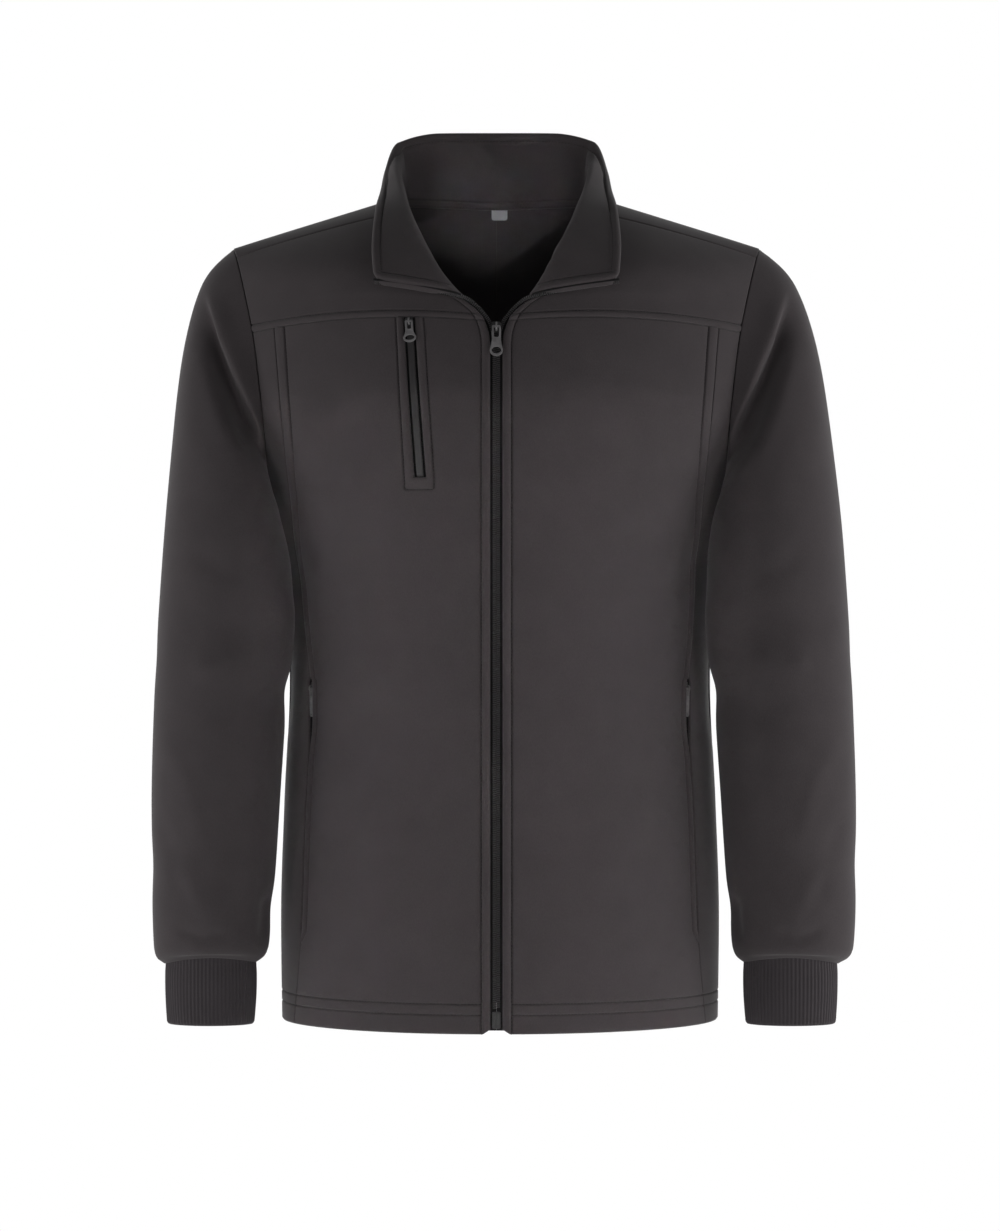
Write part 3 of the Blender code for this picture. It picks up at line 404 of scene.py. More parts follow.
def centreBack(level):
    share = yokeShare(level)
    below = level + torso["backLift"] * ease(torso["armMiddle"], torso["yoke"], level)
    height = np.where(share > 0, column(torso["backRise"], 2, share), below)
    depth = np.where(share > 0, column(torso["backRise"], 1, share), column(torso["rows"], 3, level))
    neck = torso["neckBackShare"]
    along = np.clip((share - neck) / (1 - neck), 0, 1)
    neckline = collarLine(1, along * collarSizes["neckPoint"])
    return np.where((share > neck)[..., None], neckline, points(0 * depth, depth, height))


def rowTurn(level, front):
    cut = torso["armFront"] / torso["chestFront"] if front else torso["armBack"] / torso["chestBack"]
    share = yokeShare(level)
    angle = np.minimum(armAngle(level), yokeAngle)
    return np.arccos(cut * np.cos(angle)) * (1 - share) + torso["shoulderTurn"] * share


def body(across, level, front=True):
    # left half: 0 at the centre, 1 at the side seam, armhole and shoulder point
    across, level = np.broadcast_arrays(np.asarray(across, float), np.asarray(level, float))
    start = frontEdge(level) if front else centreBack(level)
    finish = armhole(level, front)
    turn = rowTurn(level, front)
    sideways = np.sin(across * turn) / np.sin(turn)
    curve = (1 - np.cos(across * turn)) / (1 - np.cos(turn))
    # the rows of the back leave the centre level, so that no crease shows there
    blunt = 0 * level if front else torso["blunt"] * (1 - ease(*torso["bluntUntil"], yokeShare(level)))
    fall = (np.sqrt(sideways ** 2 + blunt ** 2) - blunt) / (np.sqrt(1 + blunt ** 2) - blunt)
    place = start + (finish - start) * points(sideways, curve, fall)
    if front:
        bow = torso["yokeBow"] * ease(torso["bowFrom"], torso["yoke"], level) * (1 - yokeShare(level))
        place[..., 2] += bow * 4 * sideways * (1 - sideways)
    return place


def bodyFrame(across, level):
    # place on the front, with its directions sideways and outward
    d, rise = 1e-3, 0.5
    low, high = np.clip(across - d, 0, 1), np.clip(across + d, 0, 1)
    side = unit(body(high, level) - body(low, level))
    top = np.minimum(level + rise, torso["shoulder"])
    up = unit(body(across, top) - body(across, level - rise))
    return body(across, level), side, unit(np.cross(side, up))


def onSide(grid, side):
    place = mirrored(grid, side)
    wide = 1 - ease(torso["widerFull"], torso["widerFrom"], place[..., 2])
    place[..., 0] *= 1 + side * torso["wider"] * wide
    return place


def acrossOf(level, out):
    start, finish = frontEdge(level)[..., 0], armhole(level, True)[..., 0]
    turn = rowTurn(level, True)
    return np.arcsin(np.clip((out - start) / (finish - start) * np.sin(turn), 0, 1)) / turn


def princess(level):
    return acrossOf(level, column(torso["princess"], 1, level))


def rowLength(level, front=True):
    start = frontEdge(level) if front else centreBack(level)
    return np.linalg.norm(armhole(level, front) - start, axis=-1)


# Cloth walls: how edges roll in, how stitches pull in, and how folds lie
cloth = {"thick": 2.0, "seam": 1.2, "fold": 1.8, "turn": 0.8, "stitchDepth": 1.35, "stitchWidth": 0.75,
         "swell": 0.9, "step": 3.3, "gap": 0.05}
edgeMarks = np.array([0, 0.3, 0.7, 1.2, 1.9, 3.0])
lineMarks = np.array([-1.7, -1.1, -0.7, -0.35, 0, 0.35, 0.7, 1.1, 1.7])


def marks(*lines):
    found = [edgeMarks] + [line + lineMarks for line in lines]
    return np.concatenate(found)


def spaced(total, first, last, step=None):
    # distances from 0 to a length, close together at both edges
    step = step or cloth["step"]
    middle = total - first[-1] - last[-1]
    count = max(int(math.ceil(middle / step)), 2)
    return np.concatenate([first, first[-1] + middle * np.arange(1, count) / count, total - last[::-1]])


def rolled(distance, radius):
    u = np.clip(distance / radius, 0, 1)
    return radius * (1 - np.sqrt(1 - (1 - u) ** 2))


def seamed(*distances):
    return -sum(rolled(distance, cloth["seam"]) for distance in distances)


def groove(distance):
    return cloth["stitchDepth"] * np.exp(-(distance / cloth["stitchWidth"]) ** 2)


def swell(distance, width):
    return cloth["swell"] * np.sin(math.pi * np.clip(distance / width, 0, 1))


def creased(place, folds):
    # soft troughs and ridges along paths in front view: path, depth, width on its left and right side
    lift = np.zeros(place.shape[:-1])
    spot = place[..., [0, 2]]
    for path, depth, left, right in folds:
        path = np.asarray(path, float)
        lengths = np.linalg.norm(np.diff(path, axis=0), axis=1)
        near = np.full(lift.shape, 1e9)
        share, sign = np.zeros(lift.shape), np.ones(lift.shape)
        begin = 0.0
        for start, finish, length in zip(path[:-1], path[1:], lengths):
            along = (finish - start) / length
            t = np.clip((spot - start) @ along, 0, length)
            gap = spot - start - t[..., None] * along
            distance = np.linalg.norm(gap, axis=-1)
            closer = distance < near
            near = np.where(closer, distance, near)
            share = np.where(closer, (begin + t) / lengths.sum(), share)
            sign = np.where(closer, along[0] * gap[..., 1] - along[1] * gap[..., 0], sign)
            begin += length
        width = np.where(sign > 0, left, right)
        fade = ease(0, 0.28, share) * (1 - ease(0.72, 1, share))
        lift += depth * fade * np.exp(-(near / width) ** 2)
    return lift


def outward(place, centre, ring=False):
    side, up = np.gradient(place, axis=1), np.gradient(place, axis=0)
    if ring:
        ends = (place[:, 1] - place[:, -2]) / 2
        side[:, 0], side[:, -1] = ends, ends
        up[:, -1] = up[:, 0]
    out = unit(np.cross(side, up))
    return out * np.sign(np.sum(out * (place - centre)))


def meshPiece(name, vertices, faces, look):
    mesh = bpy.data.meshes.new(name)
    mesh.from_pydata((np.asarray(vertices) * mm).tolist(), [], [list(map(int, face)) for face in faces])
    mesh.materials.append(looks[look])
    mesh.shade_smooth()
    return placed(name, mesh)


def wall(name, patches, look):
    # closed wall between outer and inner grids that share their edges
    outs, ins, quads, total = [], [], [], 0
    for outer, inner, kept in patches:
        rows, columns = outer.shape[:2]
        ids = np.arange(rows * columns).reshape(rows, columns) + total
        total += rows * columns
        squares = np.stack([ids[:-1, :-1], ids[:-1, 1:], ids[1:, 1:], ids[1:, :-1]], axis=-1)
        quads.append(squares[kept] if kept is not None else squares.reshape(-1, 4))
        outs.append(outer.reshape(-1, 3))
        ins.append(inner.reshape(-1, 3))
    outer, inner, quads = np.concatenate(outs), np.concatenate(ins), np.concatenate(quads)
    used = np.unique(quads)
    _, first, place = np.unique(np.round(outer[used], 3), axis=0, return_index=True, return_inverse=True)
    renumber = np.zeros(len(outer), int)
    renumber[used] = place.ravel()
    quads = renumber[quads]
    outer, inner = outer[used][first], inner[used][first]
    count = len(outer)
    edges = np.concatenate([quads[:, [k, (k + 1) % 4]] for k in range(4)])
    code = edges.min(1) * count + edges.max(1)
    _, where, seen = np.unique(code, return_inverse=True, return_counts=True)
    rim = edges[seen[where.ravel()] == 1]
    sides = np.stack([rim[:, 1], rim[:, 0], rim[:, 0] + count, rim[:, 1] + count], axis=-1)
    faces = np.concatenate([quads, quads[:, ::-1] + count, sides])
    vertices = np.concatenate([outer, inner])
    a, b, c, d = (vertices[faces[:, k]] for k in range(4))
    volume = np.sum(np.cross(b - a, c - a) * a) + np.sum(np.cross(c - a, d - a) * a)
    return meshPiece(name, vertices, faces if volume > 0 else faces[:, ::-1], look)


def cutSize(grids):
    # width, length and area of the flat cut, from the wall's middle face
    width, length, area = 0.0, 0.0, 0.0
    for grid in grids:
        width += arcs(grid, 1)[:, -1].max()
        length = max(length, arcs(grid, 0)[-1].max())
        one = np.cross(grid[:-1, 1:] - grid[:-1, :-1], grid[1:, :-1] - grid[:-1, :-1])
        two = np.cross(grid[1:, :-1] - grid[1:, 1:], grid[:-1, 1:] - grid[1:, 1:])
        area += (np.linalg.norm(one, axis=-1).sum() + np.linalg.norm(two, axis=-1).sum()) / 2
    return width * mm, length * mm, area * mm * mm


def sewCloth(name, nodes, patches, look="fleece"):
    piece = wall(name, patches, look)
    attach(piece, wearer)
    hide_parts(*([nodes] if isinstance(nodes, str) else nodes))
    width, length, area = cutSize([(outer + inner) / 2 for outer, inner, _ in patches])
    print(f"{name}: cut {width * 1000:.0f} x {length * 1000:.0f} mm, {len(piece.data.polygons)} faces")


def lineAlong(grid, distance, value, rows=slice(None)):
    # path on a grid at a distance from its first column, one point a row
    wanted = np.broadcast_to(value, distance.shape[:1])[rows]
    path = [[np.interp(v, d, g[:, axis]) for axis in range(3)]
            for v, d, g in zip(wanted, distance[rows], grid[rows])]
    return np.array(path)


def columnsAt(levels, start, finish, first, last, front=True, step=None):
    # row positions at fixed distances from both edges, even in between
    share = np.linspace(0, 1, 140)
    across = start[:, None] + (finish - start)[:, None] * share
    run = arcs(body(across, levels[:, None], front), 1)
    longest = run[:, -1].max()
    shape = spaced(longest, first, last, step)
    low, high = len(first) - 1, len(shape) - len(last)
    found = []
    for r, total in enumerate(run[:, -1]):
        inner = np.interp(shape[low:high + 1], [shape[low], shape[high]], [first[-1], total - last[-1]])
        marksHere = np.concatenate([first[:-1], inner, total - last[::-1][1:]])
        found.append(np.interp(marksHere, run[r], across[r]))
    return np.array(found)


def withRows(levels, centre, offsets):
    # the same levels with closer rows around one of them
    added = centre + np.asarray(offsets)
    far = (levels < added.min() - 0.4) | (levels > added.max() + 0.4)
    return np.sort(np.concatenate([levels[far], added]))


# Fronts and sides
frontSizes = {
    "edgeStitch": 7.6, "hemStitches": (16.0, 25.0), "hemRoll": 2.2, "hemCorner": 3.5,
    "cornerReach": (7.0, 14.0),     # how far the slanted corner at the zip's foot goes along hem and edge
    "slitFoot": -245.0, "slitTop": (68.5, 78.0), "slitBottom": (58.5, 68.5),
    # stitches round the slit: from its inner and outer edge at the foot and top, then below it
    "slitInner": (6.8, 7.7), "slitOuter": (8.5, 6.4), "slitBelow": 10.0, "slitCorner": 2.0,
    # level, how far the seam stands open at the hand pocket
    "pocket": [(-708, 0.1), (-632, 0.1), (-626, 1.6), (-476, 1.6), (-452, 5.6), (-415, 5.6), (-412, 0.1),
               (-119, 0.1)],
    "pocketFoot": (-638.0, -629.0), "pocketHead": -413.5,
    # level, distance of the stitches from the panel seam
    "seamStitch": [(-638, 0.6), (-629, 6.5), (-412, 6.5), (-330, 8.0), (-250, 9.6), (-119, 10.6)],
    # soft drag lines: path in front view, depth, width on each side
    "folds": [([(-190, -262), (-160, -318), (-128, -352)], 1.3, 12, 16),
              ([(-186, -300), (-150, -352), (-112, -380)], -1.2, 13, 10),
              ([(190, -258), (158, -300), (120, -330)], 1.3, 16, 12),
              ([(184, -300), (150, -340), (118, -356)], -1.3, 10, 14),
              ([(-150, -470), (-110, -520), (-62, -556)], 0.9, 22, 18),
              ([(146, -500), (104, -560), (58, -600)], 0.9, 18, 24),
              ([(-40, -420), (-52, -520), (-46, -640)], -0.8, 20, 24),
              ([(44, -380), (60, -500), (54, -600)], -0.8, 24, 20)],
    "sideFolds": [([(-196, -330), (-182, -400), (-186, -470)], -1.6, 14, 10),
                  ([(198, -330), (186, -410), (190, -480)], -1.6, 10, 14)],
}


def pocketHalf(level):
    levels, gaps = zip(*frontSizes["pocket"])
    return np.interp(level, levels, np.array(gaps) / 2)


def slitAcross(level, edge):
    foot, top = frontSizes["slitFoot"], torso["yoke"]
    share = np.clip((level - foot) / (top - foot), 0, 1)
    low, high = frontSizes["slitBottom"][edge], frontSizes["slitTop"][edge]
    held = acrossOf(np.array(foot), low) / princess(np.array(foot))
    return np.where(level >= foot, acrossOf(level, low + (high - low) * share), held * princess(level))


def slitGaps(level):
    # distance of the stitches from the slit's inner and outer edge
    foot, top = frontSizes["slitFoot"], torso["yoke"]
    return [np.interp(level, (foot, top), frontSizes[key]) for key in ("slitInner", "slitOuter")]


def slitLine(run, middle, half, level):
    # signed distance from the stitched outline round the slit
    inner, outer = slitGaps(level)
    radius = frontSizes["slitCorner"]
    beside = np.maximum(middle - half - inner - run, run - middle - half - outer) + radius
    below = frontSizes["slitFoot"] - level - frontSizes["slitBelow"] + radius
    outside = np.hypot(np.maximum(beside, 0), np.maximum(below, 0))
    return outside + np.minimum(np.maximum(beside, below), 0) - radius


def hemLift(height, clear):
    lines = sum(groove(height - line) for line in frontSizes["hemStitches"])
    return -rolled(height, frontSizes["hemRoll"]) - lines * ease(-0.5, 0.5, clear)


def sewHem(outer, height, clear):
    for line in frontSizes["hemStitches"]:
        row = int(np.argmin(np.abs(height - line)))
        path = outer[row][clear[row] > 1.0]
        if len(path) > 1:
            sewnLines.append(path)


def bodyLevels(foot):
    hem, top = torso["hem"], torso["yoke"] - cloth["gap"]
    rows = hem + spaced(top - hem, marks(*frontSizes["hemStitches"]), edgeMarks)
    rows = withRows(rows, sum(frontSizes["pocketFoot"]) / 2, np.linspace(-8, 8, 13))
    rows = withRows(rows, frontSizes["pocketHead"], np.linspace(-5, 5, 9))
    if foot:
        rows = withRows(rows, frontSizes["slitFoot"], np.concatenate([-edgeMarks[:0:-1], edgeMarks]))
        rows = withRows(rows, frontSizes["slitFoot"] - frontSizes["slitBelow"], lineMarks)
    return rows


def buildFront(side, name):
    size = frontSizes
    rows = bodyLevels(side < 0)
    level = rows[:, None]
    seam = princess(rows) - pocketHalf(rows) / rowLength(rows)
    frontMarks = marks(size["edgeStitch"])
    seamMarks = np.concatenate([edgeMarks, np.arange(3.6, 12.6, 0.5)])
    if side < 0:
        inner, outer = slitAcross(rows, 0), slitAcross(rows, 1)
        slitMarks = np.concatenate([edgeMarks, np.arange(3.6, 10.9, 0.5)])
        parts = [columnsAt(rows, 0 * rows, inner, frontMarks, slitMarks),
                 inner[:, None] + (outer - inner)[:, None] * np.linspace(0, 1, 6)[1:-1],
                 columnsAt(rows, outer, seam, slitMarks, seamMarks)]
        across = np.concatenate(parts, axis=1)
        slitColumns = (parts[0].shape[1] - 1, parts[0].shape[1] + parts[1].shape[1])
    else:
        across = columnsAt(rows, 0 * rows, seam, frontMarks, seamMarks)
    place = onSide(body(across, level), side)
    run = arcs(place, 1)
    rest = run[:, -1:] - run
    height = level - torso["hem"] + 0 * run
    below = torso["yoke"] - level
    atEdge, atHem = size["cornerReach"]
    place[..., 2] += size["hemCorner"] * (1 - ease(0, atEdge, run)) * (1 - ease(0, atHem, height))
    pocketLine = np.interp(level, *zip(*size["seamStitch"]))
    sewn = ease(size["pocketFoot"][0] - 0.5, size["pocketFoot"][0] + 0.5, level)
    lift = seamed(rest, below) - rolled(run, cloth["fold"])
    lift = lift - groove(run - size["edgeStitch"]) + swell(run, size["edgeStitch"])
    lift = lift + (swell(rest, pocketLine) - groove(rest - pocketLine)) * sewn
    lift = lift + hemLift(height, run - size["edgeStitch"])
    kept = None
    if side < 0:
        first, last = slitColumns
        middle = (run[:, first:first + 1] + run[:, last:last + 1]) / 2
        half = (run[:, last:last + 1] - run[:, first:first + 1]) / 2
        gap = np.hypot(np.maximum(np.abs(run - middle) - half, 0), np.maximum(size["slitFoot"] - level, 0))
        lift = lift - groove(slitLine(run, middle, half, level)) - rolled(gap, cloth["seam"])
        lift = lift + swell(gap, size["slitInner"][0])
        kept = np.ones((len(rows) - 1, across.shape[1] - 1), bool)
        kept[np.ix_(rows[:-1] > size["slitFoot"] - cloth["gap"], np.arange(first, last))] = False
    lift = lift + creased(place, size["folds"]) * ease(8, 30, run) * ease(0, 18, below)
    out = outward(place, points(0, 0, place[..., 2]))
    outer = place + out * lift[..., None]
    edgeIn = rolled(run, cloth["turn"]) + rolled(height, cloth["turn"])
    inner = place - out * (cloth["thick"] - edgeIn)[..., None]
    sewCloth(name + "_cloth", name, [(outer, inner, kept)])
    sewnLines.append(lineAlong(outer, run, size["edgeStitch"]))
    down = rows > size["pocketFoot"][0]
    flipped = outer[:, ::-1]
    sewnLines.append(lineAlong(flipped, rest[:, ::-1], np.ravel(pocketLine), down))
    sewHem(outer, rows - torso["hem"], run - size["edgeStitch"])
    if side < 0:
        radius, foot = size["slitCorner"], size["slitFoot"] - size["slitBelow"]
        bend = np.linspace(0, math.pi / 2, 5)
        above = rows[rows >= foot + radius][::-1]
        at = np.concatenate([above, foot + radius - radius * np.sin(bend)])
        bent = np.concatenate([0 * above, radius * (1 - np.cos(bend))])
        paths = []
        for sign, wide in zip((-1, 1), slitGaps(at)):
            runAt = np.interp(at, rows, middle[:, 0]) + sign * (np.interp(at, rows, half[:, 0]) + wide - bent)
            paths.append(np.array([gridPoint(outer, rows, run, *spot) for spot in zip(at, runAt)]))
        sewnLines.append(np.concatenate([paths[0], paths[1][::-1]]))


def gridPoint(grid, levels, run, level, distance):
    r = int(np.clip(np.searchsorted(levels, level) - 1, 0, len(levels) - 2))
    t = (level - levels[r]) / (levels[r + 1] - levels[r])
    two = [[np.interp(distance, run[k], grid[k, :, axis]) for axis in range(3)] for k in (r, r + 1)]
    return np.array(two[0]) * (1 - t) + np.array(two[1]) * t


def buildSide(side, name):
    rows = bodyLevels(False)
    level = rows[:, None]
    length = rowLength(rows)
    across = columnsAt(rows, princess(rows) + pocketHalf(rows) / length, 1 - cloth["gap"] / length,
                       edgeMarks, edgeMarks)
    place = onSide(body(across, level), side)
    run = arcs(place, 1)
    rest = run[:, -1:] - run
    height = level - torso["hem"] + 0 * run
    lift = seamed(run, rest, torso["yoke"] - level) + hemLift(height, run + 2)
    lift = lift + creased(place, frontSizes["folds"] + frontSizes["sideFolds"])
    out = outward(place, points(0, 0, place[..., 2]))
    outer = place + out * lift[..., None]
    inner = place - out * (cloth["thick"] - rolled(height, cloth["turn"]))[..., None]
    sewCloth(name + "_cloth", name, [(outer, inner, None)])
    sewHem(outer, rows - torso["hem"], run + 2)


for side, word in hands:
    buildFront(side, "front_" + word)
    buildSide(side, "side_" + word)


# Yokes and back
yokeSizes = {
    "seamStitch": 6.7, "edgeStitch": 7.6,
    "edgeUntil": (0.17, 0.21),          # share of the yoke where the stitches beside the zip end
    "shoulderStitch": (44.0, 24.0),     # distance from the shoulder seam at the neck and at the arm
    "closeRows": (20.0, 54.0, 0.75),    # rows of the cloth under those stitches: from, to, step
    "folds": [([(-214, -84), (-180, -92), (-140, -88)], -0.9, 9, 12),
              ([(214, -84), (178, -94), (138, -90)], -0.9, 12, 9)],
}
backSizes = {
    "step": 4.6, "seamReach": 9.0,
    "folds": [([(-200, -240), (-150, -285), (-95, -310)], 1.6, 16, 14),
              ([(-196, -290), (-140, -340), (-90, -355)], -1.6, 14, 16),
              ([(200, -236), (156, -290), (104, -322)], 1.6, 14, 16),
              ([(198, -300), (146, -345), (84, -366)], -1.5, 16, 14),
              ([(-150, -400), (-80, -424), (20, -418)], -1.8, 15, 20),
              ([(160, -440), (84, -458), (-10, -452)], -1.7, 20, 16),
              ([(-120, -500), (-40, -486), (60, -494)], 1.2, 18, 22),
              ([(-90, -540), (-104, -620), (-96, -690)], -1.2, 22, 18),
              ([(84, -520), (100, -610), (92, -690)], -1.3, 18, 24),
              ([(-150, -130), (-110, -190), (-104, -250)], -1.0, 20, 16),
              ([(150, -126), (114, -186), (106, -260)], -1.0, 16, 20)],
}


def yokeRows(first, last, front):
    shares = np.linspace(0, torso["lastShare"], 120)
    run = arcs(body(0.55, yokeLevel(shares)[:, None], front), 0)[:, 0]
    return yokeLevel(np.interp(spaced(run[-1], first, last), run, shares))


def buildYoke(side, name):
    size = yokeSizes
    closeRows = np.arange(*size["closeRows"])
    rows = yokeRows(np.concatenate([edgeMarks, np.arange(3.6, 10, 0.5)]),
                    np.concatenate([edgeMarks, np.arange(5, closeRows[0], 3.0), closeRows]), True)
    rows[0] += cloth["gap"]
    level = rows[:, None]
    inset = cloth["gap"] / rowLength(rows)
    across = columnsAt(rows, inset, 1 - inset, marks(size["edgeStitch"]), edgeMarks)
    place = onSide(body(across, level), side)
    run, rise = arcs(place, 1), arcs(place, 0)
    rest, fall = run[:, -1:] - run, rise[-1:] - rise
    share = yokeShare(level)
    front = 1 - ease(*size["edgeUntil"], share)
    atNeck, atArm = size["shoulderStitch"]
    shoulder = atNeck + (atArm - atNeck) * (run / run[:, -1:]) ** 3
    lift = seamed(run, rest, rise, fall)
    lift = lift - groove(rise - size["seamStitch"]) + swell(rise, size["seamStitch"])
    lift = lift - groove(fall - shoulder) + swell(fall, shoulder)
    lift = lift - (groove(run - size["edgeStitch"]) - swell(run, size["edgeStitch"])) * front
    lift = lift + creased(place, size["folds"])
    out = outward(place, np.array([0.0, 0.0, -150.0]))
    outer = place + out * lift[..., None]
    inner = place - out * cloth["thick"]
    sewCloth(name + "_cloth", name, [(outer, inner, None)])
    sewnLines.append(lineAlong(outer, run, size["edgeStitch"], np.ravel(share) < torso["neckFrontShare"]))
    turned, clear = outer.transpose(1, 0, 2), run[len(rows) // 8] > size["edgeStitch"]
    sewnLines.append(lineAlong(turned, rise.T, size["seamStitch"], clear))
    sewnLines.append(lineAlong(turned[:, ::-1], fall.T[:, ::-1], shoulder[-1], slice(2, -2)))


def buildBack(name):
    hem = torso["hem"]
    step = backSizes["step"]
    low = hem + spaced(torso["yoke"] - hem, marks(*frontSizes["hemStitches"]), np.array([0.0, 3.0]), step)
    high = yokeRows(np.array([0.0, 3.0]), edgeMarks, False)
    neck = torso["neckBackShare"]
    rows = withRows(np.concatenate([low, high[1:]]), float(yokeLevel(neck)), np.linspace(-1.2, 1.2, 5))
    level = rows[:, None]
    inset = cloth["gap"] / rowLength(rows, False)
    start = np.where(yokeShare(rows) > neck + 1e-6, inset, 0)
    across = columnsAt(rows, start, 1 - inset, edgeMarks, edgeMarks, False, step)
    share = yokeShare(level)
    aboveNeck = share >= neck
    seam = collarLine(1, np.clip(share - neck, 0, 1 - neck) / (1 - neck) * collarSizes["neckPoint"])
    patches = []
    for side, _ in hands:
        place = onSide(body(across, level, False), side)
        run, rise = arcs(place, 1), arcs(place, 0)
        rest, fall = run[:, -1:] - run, rise[-1:] - rise
        height = level - hem + 0 * run
        drop = np.linalg.norm(place - mirrored(seam, side), axis=-1)
        atNeck = np.where(aboveNeck, run, np.minimum(drop, backSizes["seamReach"]))
        lift = seamed(rest, fall, atNeck)
        lift = lift + hemLift(height, rest + 2) + creased(place, backSizes["folds"])
        out = outward(place, points(0, 0, np.minimum(place[..., 2], -120)))
        out[:, 0] = np.where(aboveNeck, out[:, 0], unit(out[:, 0] * np.array([0.0, 1.0, 1.0])))
        outer = place + out * lift[..., None]
        inner = place - out * (cloth["thick"] - rolled(height, cloth["turn"]))[..., None]
        patches.append((outer, inner, None))
        sewHem(outer, rows - hem, rest + 2)
    sewCloth(name + "_cloth", name, patches)


for side, word in hands:
    buildYoke(side, "yoke_" + word)
buildBack("back")


# Collar
def collar(station, rise):
    station, rise = np.broadcast_arrays(np.asarray(station, float), np.asarray(rise, float))
    seam, roll, top = (collarLine(index, station) for index in (1, 2, 3))
    roll = roll - points(column(collarSizes["lean"], 1, np.maximum(-station, 0)), 0, 0)
    pull = 2 * roll - (seam + top) / 2
    v = rise[..., None]
    return seam * (1 - v) ** 2 + 2 * v * (1 - v) * pull + top * v ** 2


def collarInward(station, rise):
    d = 1e-3
    along = collar(np.minimum(station + d, 1), rise) - collar(np.maximum(station - d, -1), rise)
    return unit(np.cross(along, collar(station, rise + d) - collar(station, rise - d)))


def buildCollar(name):
    size = collarSizes
    fine = np.linspace(-1, 1, 400)
    run = arcs(collar(fine, 0.8)[None], 1)[0]
    stations = np.interp(spaced(run[-1], marks(size["stitch"]), marks(size["stitch"]), 2.6), run, fine)
    fineRise = np.linspace(0.0, 1, 200)
    up = arcs(collar(0.6, fineRise)[:, None], 0)[:, 0]
    rises = np.interp(spaced(up[-1], edgeMarks, marks(size["stitch"]), 2.2), up, fineRise)
    station, rise = np.meshgrid(stations, rises)
    face = collar(station, rise)
    inward = collarInward(station, rise)
    run, up = arcs(face, 1), arcs(face, 0)
    rest, top = run[:, -1:] - run, up[-1:] - up
    ends = np.minimum(run, rest)
    # round the two front corners
    u, v = np.clip(1 - ends / size["corner"], 0, 1), np.clip(1 - top / size["corner"], 0, 1)
    toEnd = unit(np.gradient(face, axis=1)) * np.sign(station)[..., None]
    toTop = unit(np.gradient(face, axis=0))
    face = face + toEnd * (size["corner"] * u * (np.sqrt(1 - v * v / 2) - 1))[..., None]
    face = face + toTop * (size["corner"] * v * (np.sqrt(1 - u * u / 2) - 1))[..., None]
    half = size["cloth"] / 2
    edge = np.minimum(top, ends)
    clear = ease(size["seamClear"] - 2, size["seamClear"] + 2, up)
    lift = -rolled(top, size["edge"]) - rolled(ends, 0.9) - rolled(up, 1.3)
    lift = lift + (size["edgeSwell"] * swell(edge, size["stitch"]) - groove(edge - size["stitch"])) * clear
    lift = np.maximum(lift, -half + 0.02)
    soft = (creased(face, size["folds"]) * ease(*size["foldsFrom"], face[..., 1]))[..., None]
    middle = face + inward * (half - soft)
    outer = middle - inward * (half + lift)[..., None]
    inner = middle + inward * (half + lift)[..., None]
    # the outer layer runs on past the zip along the front edges
    past = size["lip"] * (1 - ease(0, size["lipEdge"], ends))
    past = past * ease(*size["lipSeam"], up) * ease(*size["lipTop"], top)
    outer = outer + toEnd * past[..., None]
    # facing below the neck seam
    drop = size["facing"] * (1 - ease(*size["facingEnds"], np.abs(stations)))
    for share in size["facingRows"]:
        ring = middle[0] - points(0, 0, drop * share)
        outer = np.concatenate([(ring - inward[0] * (half - 0.8))[None], outer])
        inner = np.concatenate([(ring + inward[0] * (half + 0.1))[None], inner])
    sewnLines.append(inner[1][np.abs(stations) < size["neckStitch"]])
    extra = len(outer) - len(rises)
    sewCloth(name + "_cloth", name, [(outer, inner, None)])
    for grid in (outer[extra:], inner[extra:]):
        turned = grid.transpose(1, 0, 2)[:, ::-1]
        sewnLines.append(lineAlong(turned, top.T[:, ::-1], size["stitch"], ends[-1] > size["stitch"]))
        low = (up[:, 0] > size["seamClear"]) & (top[:, 0] > size["stitch"])
        for distance, step in ((run, 1), (rest, -1)):
            sewnLines.append(lineAlong(grid[:, ::step], distance[:, ::step], size["stitch"], low))


buildCollar("collar")


